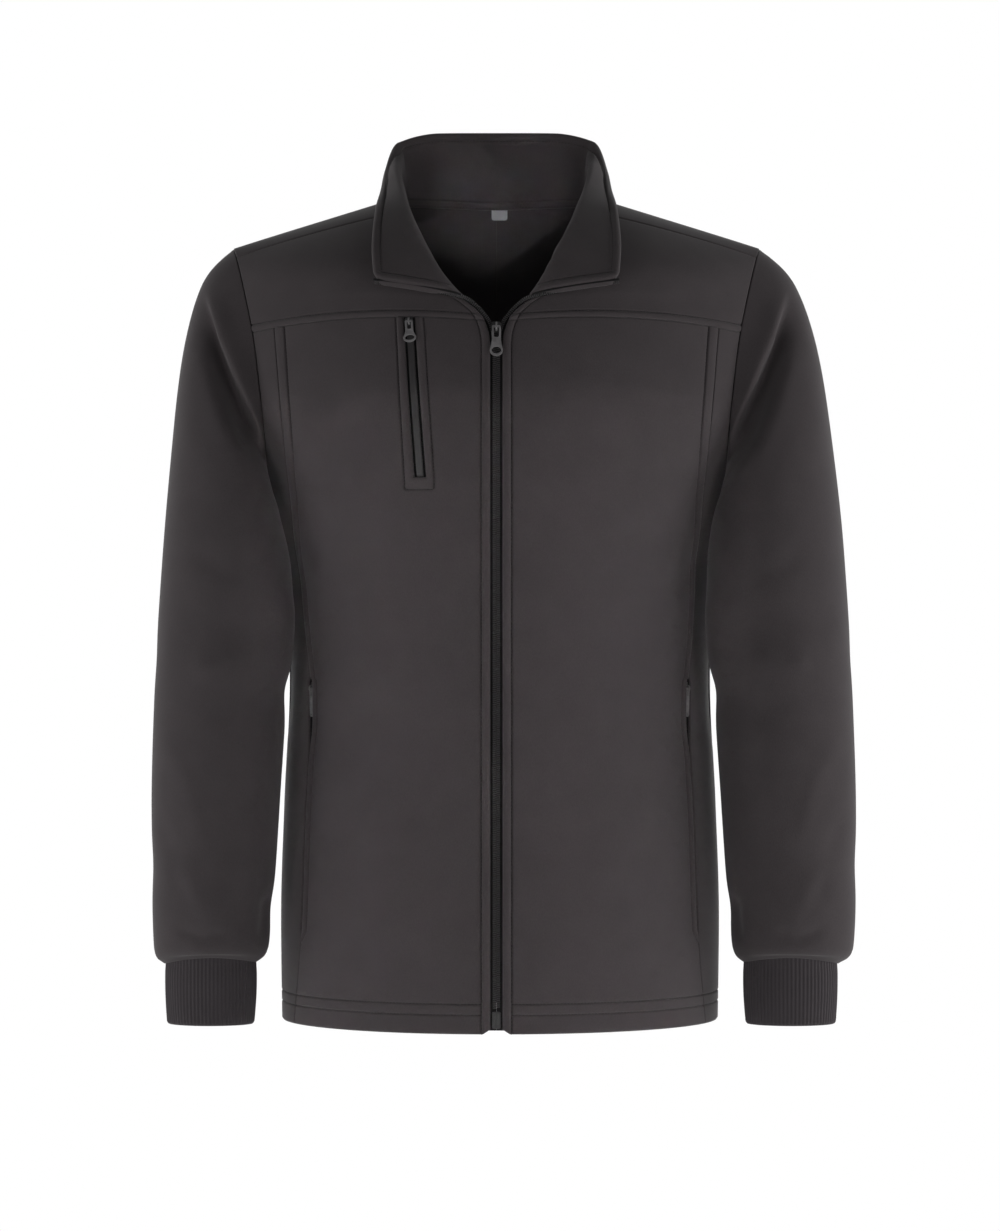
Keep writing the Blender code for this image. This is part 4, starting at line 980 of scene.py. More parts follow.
# Sleeves
sleeveSizes = {
    "capRows": 4.0, "puff": (2.4, 0.42, 0.4, 0.8), "head": 290.0, "radius": 55.0,
    "foldsBegin": (0.3, 2.0), "foldsEnd": (8.6, 9.6), "archRise": 6.0, "archRows": (8.8, 10.5),
    "creasesBegin": (0.1, 0.8), "frontTurn": (48, 152),
    # how the end turns in against the cuff: inward, up
    "end": [(1.0, -0.7), (2.0, -0.5), (2.9, 0.6), (3.2, 3.0)], "endLift": 0.35,
    # outer x and z, inner x and z, front, back, skew
    "rows": [(228.0, -43, 199.0, -248, -60.0, 72.0, 0.0), (256.0, -77, 200.5, -257, -64.0, 70.0, 14.0),
             (268.0, -118, 200.0, -266, -69.0, 66.0, 24.0), (275.0, -168, 197.0, -279, -76.0, 60.0, 30.0),
             (281.0, -235, 191.5, -300, -86.0, 49.0, 28.0), (286.5, -312, 183.0, -335, -94.0, 36.0, 18.0),
             (292.0, -416, 180.0, -420, -96.0, 18.0, 6.0), (294.5, -520, 185.0, -520, -93.0, 6.0, 2.0),
             (294.0, -600, 190.5, -600, -88.0, 2.0, 0.0), (292.5, -645, 195.0, -643.5, -80.0, -2.0, 0.0),
             (290.0, -652.5, 198.5, -651, -74.0, -8.0, 0.0), (285.0, -656.5, 203.5, -655, -68.5, -13.5, 0.0)],
    # row, how far the left sleeve's outer and inner line move out
    "swing": [(0, 0.0, 0.0), (1, 3.5, 0.0), (3, 8.5, 0.0), (5, 12.0, 5.0), (6, 12.0, 6.5), (8, 13.0, 7.0),
              (11, 8.5, 6.0)],
    # height, angle, lean, reach along and across, depth
    "folds": [(-165, 95, -55, 60, 20, -5.0), (-205, 62, -58, 60, 24, 3.0), (-375, 125, -12, 50, 18, -4.0),
              (-300, 168, 0, 40, 36, 6.0), (-378, 150, 0, 22, 46, 14.0), (-432, 135, 14, 55, 20, -4.5),
              (-405, 300, 8, 50, 20, -3.5), (-560, 45, 22, 45, 20, -3.0), (-612, 165, 10, 32, 16, -2.5)],
    # creases on the front: path in front view of the left half, depth, width on each side
    "creases": [([(252, -70), (246, -91), (237, -122), (224, -152), (208, -187), (197, -208),
                  (190, -240)], 3.5, 2.5, 16),
                ([(254, -80), (249, -97), (240, -126), (228, -154), (212, -189), (202, -210),
                  (196, -236)], -12.0, 15, 3),
                ([(256, -84), (248, -140), (234, -186), (216, -232), (206, -268)], 3.0, 11, 9),
                ([(262, -300), (232, -322), (200, -330)], -1.5, 10, 12),
                ([(208, -392), (236, -404), (262, -398)], 1.6, 9, 12),
                ([(286, -452), (262, -500), (246, -560)], 1.2, 10, 8),
                ([(290, -520), (272, -566), (262, -612)], -1.2, 8, 9),
                ([(280, -556), (256, -590), (236, -632)], 1.3, 8, 10),
                ([(214, -540), (222, -590), (218, -636)], -1.0, 9, 9),
                ([(276, -624), (250, -633), (222, -628)], -2.2, 4, 6),
                ([(195, -594), (196, -616), (199, -640)], -3.2, 5, 6)],
    "backCreases": [([(244, -96), (228, -160), (212, -214), (204, -280)], -3.6, 6, 9),
                    ([(256, -120), (246, -180), (228, -240)], 2.2, 10, 12),
                    ([(276, -372), (246, -392), (206, -384)], -2.6, 9, 12),
                    ([(280, -430), (246, -440), (200, -424)], 2.0, 12, 9),
                    ([(284, -520), (258, -566), (240, -616)], -1.4, 10, 9),
                    ([(208, -560), (236, -604), (270, -626)], -1.6, 8, 8)],
}


def sleeveRing(row, around):
    keys = range(len(sleeveSizes["rows"]))
    outerX, outerZ, innerX, innerZ, front, back, skew = (
        smooth(keys, [section[k] for section in sleeveSizes["rows"]], row) for k in range(7))
    lean = np.cos(around) / 2
    x = (outerX + innerX) / 2 + (outerX - innerX) * lean - skew * np.sin(around) * (0.5 - lean)
    z = (outerZ + innerZ) / 2 + (outerZ - innerZ) * lean
    return points(x, (front + back) / 2 - (back - front) / 2 * np.sin(around), z)


def sleeve(row, around, side):
    # around is 0 on the outer line, 90 degrees in front, 180 on the inner line
    size = sleeveSizes
    row, around = np.broadcast_arrays(np.asarray(row, float), np.asarray(around, float))
    rise = np.cos(around)
    middle, top, foot = torso["armMiddle"], torso["shoulder"], torso["underarm"]
    level = middle + np.where(rise > 0, top - middle, middle - foot) * rise
    hole = np.where((np.sin(around) >= 0)[..., None], armhole(level, True), armhole(level, False))
    away = (hole - sleeveRing(0 * row, around)) * (1 - ease(0, size["capRows"], row))[..., None]
    place = sleeveRing(row, around) + away
    puff, puffRow, puffRows, puffTurn = size["puff"]
    turned = (around + math.pi) % (2 * math.pi) - math.pi
    bulge = np.exp(-((row - puffRow) / puffRows) ** 2 - (turned / puffTurn) ** 2)
    place[..., 0] += puff * bulge * ease(0, 0.2, row)
    if side > 0:
        outer, inner = column(size["swing"], 1, row), column(size["swing"], 2, row)
        place[..., 0] += inner + (outer - inner) * (1 + rise) / 2
    depth = np.zeros(place.shape[:-1])
    for height, angle, lean, along, across, deep in size["folds"]:
        turn = (around - math.radians(angle) + math.pi) % (2 * math.pi) - math.pi
        sideways, up = size["radius"] * turn, place[..., 2] - height
        c, s = math.cos(math.radians(lean)), math.sin(math.radians(lean))
        near = ((sideways * c + up * s) / along) ** 2 + ((up * c - sideways * s) / across) ** 2
        depth += deep * np.exp(-near)
    hold = ease(*size["foldsBegin"], row) * (1 - ease(*size["foldsEnd"], row))
    centre = (sleeveRing(row, 0 * around) + sleeveRing(row, 0 * around + math.pi)) / 2
    out = unit((place - centre) * np.array([1.0, 1.0, 0.0]))
    place = place + out * (depth * hold)[..., None]
    place[..., 2] += size["archRise"] * np.maximum(np.sin(around), 0) ** 2 * ease(*size["archRows"], row)
    return place, centre


def buildSleeve(side, name):
    size = sleeveSizes
    fine = np.linspace(0.0, len(size["rows"]) - 1, 500)
    line = np.mean([sleeve(fine, a, side)[0] for a in np.linspace(0, 2 * math.pi, 9)[:-1]], axis=0)
    run = arcs(line[None], 1)[0]
    last = np.array([0.0, 0.8, 1.6, 2.4, 3.2, 4.2, 5.4, 7.0])
    head = spaced(size["head"], edgeMarks, np.array([0.0, 2.0]), 2.2)
    rest = size["head"] + spaced(run[-1] - size["head"], np.array([0.0, 2.5]), last, 3.6)
    rows = np.interp(np.concatenate([head, rest[1:]]), run, fine)
    # closer columns in front, where the head's fold lies
    begin, finish = size["frontTurn"]
    around = np.radians(np.concatenate([np.linspace(0, begin, 17)[:-1], np.linspace(begin, finish, 84)[:-1],
                                        np.linspace(finish, 360, 72)]))
    turn, row = np.meshgrid(around, rows)
    place, centre = sleeve(row, turn, side)
    place[:, -1] = place[:, 0]
    out = outward(place, centre, True)
    lift = -rolled(arcs(place, 0), cloth["seam"])
    swing = column(size["swing"], 2, row) if side > 0 else 0 * row
    spot = place - points(swing, 0, 0)
    hold = ease(*size["creasesBegin"], row)
    ahead, behind = ease(-0.1, 0.35, np.sin(turn)), ease(-0.1, 0.35, -np.sin(turn))
    fold = (creased(spot, size["creases"]) * ahead + creased(spot, size["backCreases"]) * behind) * hold
    outer = place + out * (lift + fold)[..., None]
    inner = place + out * (fold - cloth["thick"])[..., None]
    # the end turns in against the cuff
    flat = unit((place[-1] - centre[-1]) * np.array([1.0, 1.0, 0.0]))
    end, inside = outer[-1], inner[-1:]
    for count, (inwardBy, rise) in enumerate(size["end"], 1):
        outer = np.concatenate([outer, (end - flat * inwardBy + points(0, 0, rise))[None]])
        inner = np.concatenate([inner, inside + points(0, 0, size["endLift"] * count)])
    nodes = [name.replace("sleeve", "sleeve_" + part) for part in ("upper", "lower")]
    sewCloth(name + "_cloth", nodes, [(mirrored(outer, side), mirrored(inner, side), None)])


for side, word in hands:
    buildSleeve(side, "sleeve_" + word)


# Cuffs
cuffSizes = {
    "ribs": 72, "ribPoints": 7, "ribRise": 0.55, "foot": 3.0, "footTurn": 0.45, "thick": 2.0, "step": 3.4,
    "under": 8.0, "bulge": 1.0, "bulgeTop": 56.0, "plain": (44.0, 54.0),    # plain inside the sleeve
    "waves": (0.25, 0.175),
    # height, outer x, inner x, front, back
    "rows": [(-708.5, 281.0, 207.0, -65.3, -16.7), (-648.0, 282.7, 205.3, -66.3, -15.7)],
}


def buildCuff(side, name):
    size = cuffSizes
    shift = sleeveSizes["swing"][-1][1:] if side > 0 else (0.0, 0.0)
    low, top = (row[0] for row in size["rows"])
    high = top + size["under"]
    footMarks = np.array([0, 0.25, 0.7, 1.3, 2.0, 3.0, 4.5])
    heights = low + spaced(high - low, footMarks, np.array([0.0, 3.0]), size["step"])
    around = np.linspace(0, 2 * math.pi, size["ribs"] * size["ribPoints"] + 1)
    turn, height = np.meshgrid(around, heights)
    outerX, innerX, front, back = (np.interp(height, [low, top], [row[k] for row in size["rows"]])
                                   for k in range(1, 5))
    outerX, innerX = outerX + shift[0], innerX + shift[1]
    rib = np.cos(turn * size["ribs"])
    ribs = size["ribRise"] * np.where(rib > 0, np.sqrt(np.abs(rib)), -np.abs(rib)) / 2
    wave = size["waves"][0] * np.sin(3 * turn + 0.6) + size["waves"][1] * np.sin(5 * turn + height / 17)
    rise = height - low
    full = size["bulge"] * np.sin(math.pi * np.clip(rise / size["bulgeTop"], 0, 1))
    knit = ribs * ease(0, 2.5, rise) - rolled(rise, size["foot"]) * size["footTurn"]
    knit = knit + (full + wave) * (1 - ease(*size["plain"], rise))
    grids = []
    for add in (knit, -size["thick"] + 0 * knit + rolled(rise, cloth["turn"])):
        x = (outerX + innerX) / 2 + ((outerX - innerX) / 2 + add) * np.cos(turn)
        y = (front + back) / 2 - ((back - front) / 2 + add) * np.sin(turn)
        grid = points(x, y, height)
        grid[:, -1] = grid[:, 0]
        grids.append(mirrored(grid, side))
    sewCloth(name + "_knit", name, [(*grids, None)], "rib")


for side, word in hands:
    buildCuff(side, "cuff_" + word)


# Zips
zipSizes = {
    # front zip: tape, coil and teeth
    "under": 8.0, "tapeEdge": 4.98, "tapeDepth": (2.6, 3.6), "tapeFoot": -705.0, "ridges": 14,
    "chain": (2.0, 4.85), "chainDepth": 1.35, "foot": -689.0, "pitch": 1.8,
    "toothLength": 3.0, "toothWidth": 1.25, "toothSlant": 0.14,
    # where it meets the collar: bend, then how far before that point it turns and narrows
    "bend": 32.0, "passes": 60, "drop": 2.0, "clear": 1.2, "clearReach": 14.0, "slim": 1.9, "tapePast": 60.0,
    "turning": (40.0, 8.0), "narrowing": (26.0, 4.0), "edgeSkip": 8,
    # bands as first and last distance across, front and back depth, ridges
    "collarBand": (0.05, 1.9, 1.0, 2.0, 4), "collarSkip": 10,
    "chestTape": (-11.0, 11.0, 2.7, 3.7, 26), "chestChain": (-2.8, 2.8, 0.8, 2.4, 12),
    "chestEnds": (-6.0, -1.0), "chestFoot": 0.6,
    "pocketTape": (-9.0, 9.0, 3.45, 4.45, 24), "pocketEnds": (-632.0, -412.0),
}
teeth = []      # node, place, direction across and outward direction of every coil tooth


def edgeLine(places, inward):
    along = unit(np.gradient(places, axis=0))
    past = unit(inward - along * np.sum(inward * along, axis=-1, keepdims=True))
    return past, np.cross(along, past)


def evenly(pitch, start, places, *vectors):
    run = arcs(places[None], 1)[0]
    at = np.arange(start, run[-1], pitch)
    found = []
    for values in (places, *vectors):
        found.append(points(*(np.interp(at, run, values[:, axis]) for axis in range(3))))
    return found[:1] + [unit(vector) for vector in found[1:]]


def fixNormals(mesh):
    shape = bmesh.new()
    shape.from_mesh(mesh)
    bmesh.ops.recalc_face_normals(shape, faces=shape.faces)
    shape.to_mesh(mesh)
    shape.free()


def bandSection(first, last, near, far, ridges):
    # upper face with fine woven ridges and soft edges, then the lower face
    ridge, edge = 0.12, 0.2
    top = []
    for k in range(ridges + 1):
        depth = near + (ridge if k % 2 else 0.0) + (edge if k in (0, ridges) else 0)
        top.append((first + (last - first) * k / ridges, depth))
    return top + [(last, far), (first, far)]


def bandPiece(node, ending, side, path, section, look="tape", narrow=1.0):
    # woven band along a path of the left half: corners as distance across and depth behind the face
    places, across, out = onSide(path[0], side), mirrored(path[1], side), mirrored(path[2], side)
    corners = []
    for wide, depth in section:
        corners.append(places + across * (wide * narrow if wide < 0 else wide) - out * depth)
    rings = np.stack(corners, axis=1)
    count, rows = len(section), len(places)
    faces = [list(range(count)), list(range((rows - 1) * count, rows * count))[::-1]]
    for r in range(rows - 1):
        for k in range(count):
            after = (k + 1) % count
            faces.append([r * count + k, r * count + after, (r + 1) * count + after, (r + 1) * count + k])
    piece = meshPiece(node + "_" + ending, rings.reshape(-1, 3), faces, look)
    piece.data.validate()
    fixNormals(piece.data)
    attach(piece, wearer)
    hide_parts(node)


def buildFrontZip():
    size = zipSizes
    levels = np.concatenate([np.linspace(size["tapeFoot"], -140, 150),
                             np.linspace(-139, torso["yoke"], 24)[1:],
                             yokeLevel(np.linspace(0, 0.196, 22)[1:])])
    place, side, _ = bodyFrame(0 * levels, levels)
    past, out = edgeLine(place, -side)
    rise = np.linspace(0.02, 1, 60)
    edge = collar(1 + 0 * rise, rise)
    edgePast, edgeOut = edgeLine(edge, unit(edge - collar(0.995 + 0 * rise, rise)))
    # middle of the coil, with a soft bend where it passes from the front on to the collar's lower edge
    chainRows = levels > size["foot"]
    middle = sum(size["chain"]) / 2
    strip = place + past * middle
    skip = size["edgeSkip"]
    places = np.concatenate([strip[chainRows], edge[skip:] + edgePast[skip:] * size["drop"]])
    run = arcs(places[None], 1)[0]
    meet = run[chainRows.sum() - 1]
    bend = (np.abs(run - meet) < size["bend"])[1:-1, None]
    for _ in range(size["passes"]):
        places[1:-1] = np.where(bend, (places[:-2] + places[2:]) / 2, places[1:-1])
    # past the bend the strip faces the front
    facing = unit(np.cross((0, -1, 0), np.gradient(places, axis=0)))
    begin, end = size["turning"]
    turned = ease(meet - begin, meet - end, run)[:, None]
    both = np.concatenate([past[chainRows], facing[chainRows.sum():]])
    both = unit(both * (1 - turned) + facing * turned)
    places = places + both * (size["clear"] * np.exp(-((run - meet) / size["clearReach"]) ** 2))[:, None]
    chainPast, chainOut = edgeLine(places, both)
    # the tape goes on with the coil under the collar, where it narrows
    below, high = ~chainRows, run < meet + size["tapePast"]
    pairs = ((strip, places), (past, chainPast), (out, chainOut))
    tape = [np.concatenate([low[below], top[high]]) for low, top in pairs]
    inner, outer = size["tapeEdge"] - middle, size["under"] + middle
    slim = 1 - size["slim"] / outer
    begin, end = size["narrowing"]
    tapeRun = np.concatenate([0 * levels[below], run[high]])
    narrow = 1 - slim * ease(meet - begin, meet - end, tapeRun)[:, None]
    section = bandSection(-outer, inner, *size["tapeDepth"], size["ridges"])
    collarPath = [grid[size["collarSkip"]:] for grid in (edge, edgePast, edgeOut)]
    coil = places - chainOut * size["chainDepth"]
    for side, word in hands:
        bandPiece("zip_tape_" + word, "weave", side, tape, section, narrow=narrow)
        bandPiece("collar_tape_" + word, "weave", side, collarPath, bandSection(*size["collarBand"]))
        start = 0.0 if side < 0 else size["pitch"] / 2
        spots, across, ahead = evenly(size["pitch"], start, coil, chainPast, chainOut)
        teeth.append(("zip_chain_" + word, onSide(spots, side), mirrored(across, side),
                      mirrored(ahead, side)))


def buildChestZip():
    size = zipSizes
    foot, top = size["chestEnds"]
    levels = np.linspace(frontSizes["slitFoot"] + foot, torso["yoke"] + top, 60)
    path = bodyFrame((slitAcross(levels, 0) + slitAcross(levels, 1)) / 2, levels)
    bandPiece("chest_tape", "weave", -1, path, bandSection(*size["chestTape"]))
    rows = levels > frontSizes["slitFoot"] + size["chestFoot"]
    chain = [grid[rows] for grid in path]
    bandPiece("chest_chain", "coil", -1, chain, bandSection(*size["chestChain"]), "coil")


def buildPocketZips():
    levels = np.linspace(*zipSizes["pocketEnds"], 90)
    path = bodyFrame(princess(levels), levels)
    for side, word in hands:
        bandPiece("pocket_zip_" + word, "weave", side, path, bandSection(*zipSizes["pocketTape"]))


buildFrontZip()
buildChestZip()
buildPocketZips()
print("zip tapes built")


# Geometry Nodes: stitches along paths, coil teeth on points
def closeTree(tree, instances, look, result):
    real = addNode(tree, "GeometryNodeRealizeInstances", {"Geometry": instances})
    soft = addNode(tree, "GeometryNodeSetShadeSmooth", {"Geometry": real.outputs["Geometry"]})
    done = addNode(tree, "GeometryNodeSetMaterial", {"Geometry": soft.outputs["Geometry"], "Material": look})
    tree.links.new(done.outputs["Geometry"], result["Geometry"])


def stitchTree():
    tree, given, result = newTree(
        "sewnStitches", "GeometryNodeTree",
        {"Geometry": "Geometry", "Pitch": "Float", "Length": "Float", "Width": "Float", "Uneven": "Float",
         "Thread": "Material"}, {"Geometry": "Geometry"})
    path = addNode(tree, "GeometryNodeMeshToCurve", {"Mesh": given["Geometry"]})
    spots = addNode(tree, "GeometryNodeResampleCurve",
                    {"Curve": path.outputs["Curve"], "Length": given["Pitch"]}, mode="LENGTH")
    bead = addNode(tree, "GeometryNodeMeshUVSphere", {"Segments": 6, "Rings": 3, "Radius": 0.5})
    tangent = addNode(tree, "GeometryNodeInputTangent").outputs["Tangent"]
    turn = addNode(tree, "FunctionNodeAlignRotationToVector", {"Vector": tangent}, axis="Z")
    least = maths(tree, "SUBTRACT", 1.0, given["Uneven"])
    vary = addNode(tree, "FunctionNodeRandomValue", {2: least, 3: 1.0, "Seed": 7}, data_type="FLOAT")
    long = maths(tree, "MULTIPLY", given["Length"], vary.outputs[1])
    size = addNode(tree, "ShaderNodeCombineXYZ", {"X": given["Width"], "Y": given["Width"], "Z": long})
    sewn = addNode(tree, "GeometryNodeInstanceOnPoints",
                   {"Points": spots.outputs["Curve"], "Instance": bead.outputs["Mesh"],
                    "Rotation": turn.outputs["Rotation"], "Scale": size.outputs["Vector"]})
    closeTree(tree, sewn.outputs["Instances"], given["Thread"], result)
    return tree


def toothTree():
    tree, given, result = newTree(
        "coilTeeth", "GeometryNodeTree",
        {"Geometry": "Geometry", "Length": "Float", "Width": "Float", "Slant": "Float", "Coil": "Material"},
        {"Geometry": "Geometry"})
    across, facing = (addNode(tree, "GeometryNodeInputNamedAttribute", {"Name": name},
                              data_type="FLOAT_VECTOR").outputs["Attribute"] for name in ("across", "facing"))
    turn = addNode(tree, "FunctionNodeAxesToRotation", {0: facing, 1: across},
                   primary_axis="Z", secondary_axis="X")
    ends = []
    for share, lean in ((-0.5, -1.0), (0.5, 1.0)):
        along = maths(tree, "MULTIPLY", given["Length"], share)
        aside = maths(tree, "MULTIPLY", given["Slant"], lean)
        ends.append(addNode(tree, "ShaderNodeCombineXYZ", {"X": along, "Y": aside}).outputs["Vector"])
    line = addNode(tree, "GeometryNodeCurvePrimitiveLine", {"Start": ends[0], "End": ends[1]})
    radius = maths(tree, "MULTIPLY", given["Width"], 0.5)
    ring = addNode(tree, "GeometryNodeCurvePrimitiveCircle", {"Resolution": 8, "Radius": radius})
    tooth = addNode(tree, "GeometryNodeCurveToMesh",
                    {"Curve": line.outputs["Curve"], "Profile Curve": ring.outputs["Curve"],
                     "Fill Caps": True})
    spread = addNode(tree, "GeometryNodeInstanceOnPoints",
                     {"Points": given["Geometry"], "Instance": tooth.outputs["Mesh"],
                      "Rotation": turn.outputs["Rotation"]})
    closeTree(tree, spread.outputs["Instances"], given["Coil"], result)
    return tree


def grow(name, mesh, tree, values):
    source = placed(name + "_source", mesh)
    modifier = source.modifiers.new(tree.name, "NODES")
    modifier.node_group = tree
    for item in tree.interface.items_tree:
        if item.in_out == "INPUT" and item.name in values:
            modifier[item.identifier] = values[item.name]
    bpy.context.view_layer.update()
    graph = bpy.context.evaluated_depsgraph_get()
    made = bpy.data.meshes.new_from_object(source.evaluated_get(graph), preserve_all_data_layers=False,
                                           depsgraph=graph)
    made.name = name
    bpy.data.objects.remove(source, do_unlink=True)
    return placed(name, made)


stitchSizes = {"Pitch": 2.9 * mm, "Length": 2.5 * mm, "Width": 0.62 * mm, "Uneven": 0.12}
toothSizes = {"Length": zipSizes["toothLength"] * mm, "Width": zipSizes["toothWidth"] * mm,
              "Slant": zipSizes["toothSlant"] * mm}


def buildStitches():
    places, edges, count = [], [], 0
    for path in sewnLines:
        places.append(path)
        edges += [(count + k, count + k + 1) for k in range(len(path) - 1)]
        count += len(path)
    mesh = bpy.data.meshes.new("stitchPaths")
    mesh.from_pydata((np.concatenate(places) * mm).tolist(), edges, [])
    # the stitches take the thread look, whose dark colour is partly painted groove shade
    piece = grow("seam_stitches", mesh, stitchTree(), {**stitchSizes, "Thread": looks["threadGrooveShade"]})
    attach(piece, wearer)
    print("stitches:", len(piece.data.polygons), "faces on", len(sewnLines), "lines")


def buildTeeth():
    tree = toothTree()
    for node, places, across, facing in teeth:
        mesh = bpy.data.meshes.new(node + "_points")
        mesh.from_pydata((places * mm).tolist(), [], [])
        for name, values in (("across", across), ("facing", facing)):
            mesh.attributes.new(name, "FLOAT_VECTOR", "POINT").data.foreach_set("vector", values.ravel())
        piece = grow(node + "_coil", mesh, tree, {**toothSizes, "Coil": looks["coil"]})
        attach(piece, wearer)
        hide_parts(node)
        print(node, "coil:", len(places), "teeth")


buildStitches()
buildTeeth()


# Sliders, pulls, box and label
metalSizes = {
    # width, length, plate, bridge width, bridge reach, axis above the plate
    "sliders": {"front": (7.8, 9.6, 1.3, 1.5, 3.9, 1.15), "chest": (7.0, 7.4, 1.2, 1.3, 3.4, 1.15),
                "pocket": (4.4, 11.0, 1.1, 1.0, 3.2, 1.15)},
    # half width, slot half width, slot end, flare, ring across and down, hole across and down, length
    "pulls": {"front": (3.8, 2.2, 9.8, 11.5, 5.4, 5.3, 3.9, 3.1, 26.7),
              "chest": (3.3, 1.7, 7.0, 8.5, 5.4, 4.2, 3.9, 2.2, 18.8),
              "pocket": (2.0, 0.95, 6.4, 14.0, 2.1, 2.1, 0.9, 0.9, 24.0)},
    "pullThick": 1.2, "bar": 0.7, "bridgeWall": 1.1, "bevel": 0.24, "plateBevel": 0.4,
    "panel": 0.25, "panelEdge": 1.0, "panelDepth": 0.6, "pullCorner": 1.3, "ringFrom": 0.25,
    # how far each slider's plate lies above the face of the cloth
    "sunk": {"front": -0.1, "chest": -0.4, "pocket": -3.3},
    # back plate of the front slider: below the face, thickness, neck
    "backPlate": 5.55, "backThick": 1.1, "backBevel": 0.35, "neck": (-1.2, 2.1, 1.2, 4.3),
    "frontHeight": -119.4, "chestLevel": -123.2, "pocketLevel": -422.0,
    # box at the foot of the zip: width, thickness, height, slot
    "box": (7.0, 1.9, 14.0), "boxSlot": (0.35, 3.5, 1.2), "boxRim": 0.6, "boxGap": 0.3, "boxOut": 0.4,
}


def seat(kind, side, place, up, out):
    # the pull's axis over a place on the left half, mirrored to its side
    _, _, plate, _, _, axis = metalSizes["sliders"][kind]
    lift = metalSizes["sunk"][kind] + plate + axis
    z = Vector(unit(mirrored(np.asarray(out), side)))
    y = Vector(mirrored(np.asarray(up), side))
    y = (y - z * y.dot(z)).normalized()
    turned = Matrix((y.cross(z), y, z)).transposed()
    return Matrix.LocRotScale((Vector(onSide(place, side)) + z * lift) * mm, turned.to_quaternion(), None)


def rounded(x0, y0, x1, y1, radius, steps=5):
    corners = [(x1 - radius, y1 - radius, 0), (x0 + radius, y1 - radius, 1), (x0 + radius, y0 + radius, 2),
               (x1 - radius, y0 + radius, 3)]
    turn = np.linspace(0, math.pi / 2, steps)
    return [(x + radius * math.cos(a + k * math.pi / 2), y + radius * math.sin(a + k * math.pi / 2))
            for x, y, k in corners for a in turn]


def stamped(outlines, low, high, bevel, turn=None):
    # plate cut to outlines, with rounded edges, from one depth to another
    data = bpy.data.curves.new("stamped", "CURVE")
    data.dimensions, data.fill_mode = "2D", "BOTH"
    data.extrude = ((high - low) / 2 - bevel) * mm
    data.bevel_depth, data.bevel_resolution, data.offset = bevel * mm, 2, -bevel * mm
    for line in outlines:
        spline = data.splines.new("POLY")
        spline.points.add(len(line) - 1)
        spline.points.foreach_set("co", [v for x, y in line for v in (x * mm, y * mm, 0, 1)])
        spline.use_cyclic_u = True
    holder = placed("stamped", data)
    graph = bpy.context.evaluated_depsgraph_get()
    mesh = bpy.data.meshes.new_from_object(holder.evaluated_get(graph))
    bpy.data.objects.remove(holder, do_unlink=True)
    mesh.transform(Matrix.Translation((0, 0, (low + high) / 2 * mm)))
    if turn is not None:
        mesh.transform(turn)
    return mesh


def metalPiece(name, node, shapes, matrix, carrier, look="metal", dull=0):
    # the first few shapes can be dull
    joined = bmesh.new()
    for count, shape in enumerate(shapes):
        shape.polygons.foreach_set("material_index", [int(count < dull)] * len(shape.polygons))
        joined.from_mesh(shape)
    bmesh.ops.remove_doubles(joined, verts=joined.verts, dist=1e-6)
    bmesh.ops.recalc_face_normals(joined, faces=joined.faces)
    mesh = bpy.data.meshes.new(name)
    joined.to_mesh(mesh)
    joined.free()
    mesh.transform(matrix)
    mesh.materials.append(looks[look])
    if dull:
        mesh.materials.append(looks["dull"])
    mesh.shade_smooth()
    piece = placed(name, mesh)
    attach(piece, carrier)
    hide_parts(node)


def buildSlider(kind, node, matrix, backed=False):
    size = metalSizes
    width, length, plate, bridge, reach, axis = size["sliders"][kind]
    wallThick = size["bridgeWall"]
    # half of the plate's outline as shares of its half width and half length
    half = [(0.72, -1.0), (0.86, -0.6), (1.0, 0.25), (0.94, 0.8), (0.6, 1.0)]
    plan = [(x * width / 2, y * length / 2) for x, y in half]
    plan += [(-x, y) for x, y in plan[::-1]]
    shapes = [stamped([plan], -axis - plate, -axis, size["plateBevel"])]
    if backed:
        low = -size["sunk"][kind] - plate - axis - size["backPlate"]
        shapes.append(stamped([plan], low, low + size["backThick"], size["backBevel"]))
        shapes.append(stamped([rounded(*size["neck"], 0.5)], low + 0.6, -axis - 0.5, 0.2))
    # bridge seen from the side: an arch over the bar of the pull
    foot = -axis - 0.3
    arch = np.linspace(0, math.pi, 15)
    outer = [(reach * math.cos(a), foot + (axis + wallThick - foot) * math.sin(a) ** 0.55) for a in arch]
    inner = [((reach - wallThick) * math.cos(a), foot + (axis - foot) * math.sin(a) ** 0.6)
             for a in arch[::-1]]
    turn = Matrix(((0, 0, 1, 0), (1, 0, 0, 0), (0, 1, 0, 0), (0, 0, 0, 1)))
    shapes.append(stamped([outer + inner], -bridge / 2, bridge / 2, size["bevel"], turn))
    metalPiece(node + "_metal", node, shapes, matrix, wearer, dull=len(shapes) - 1)


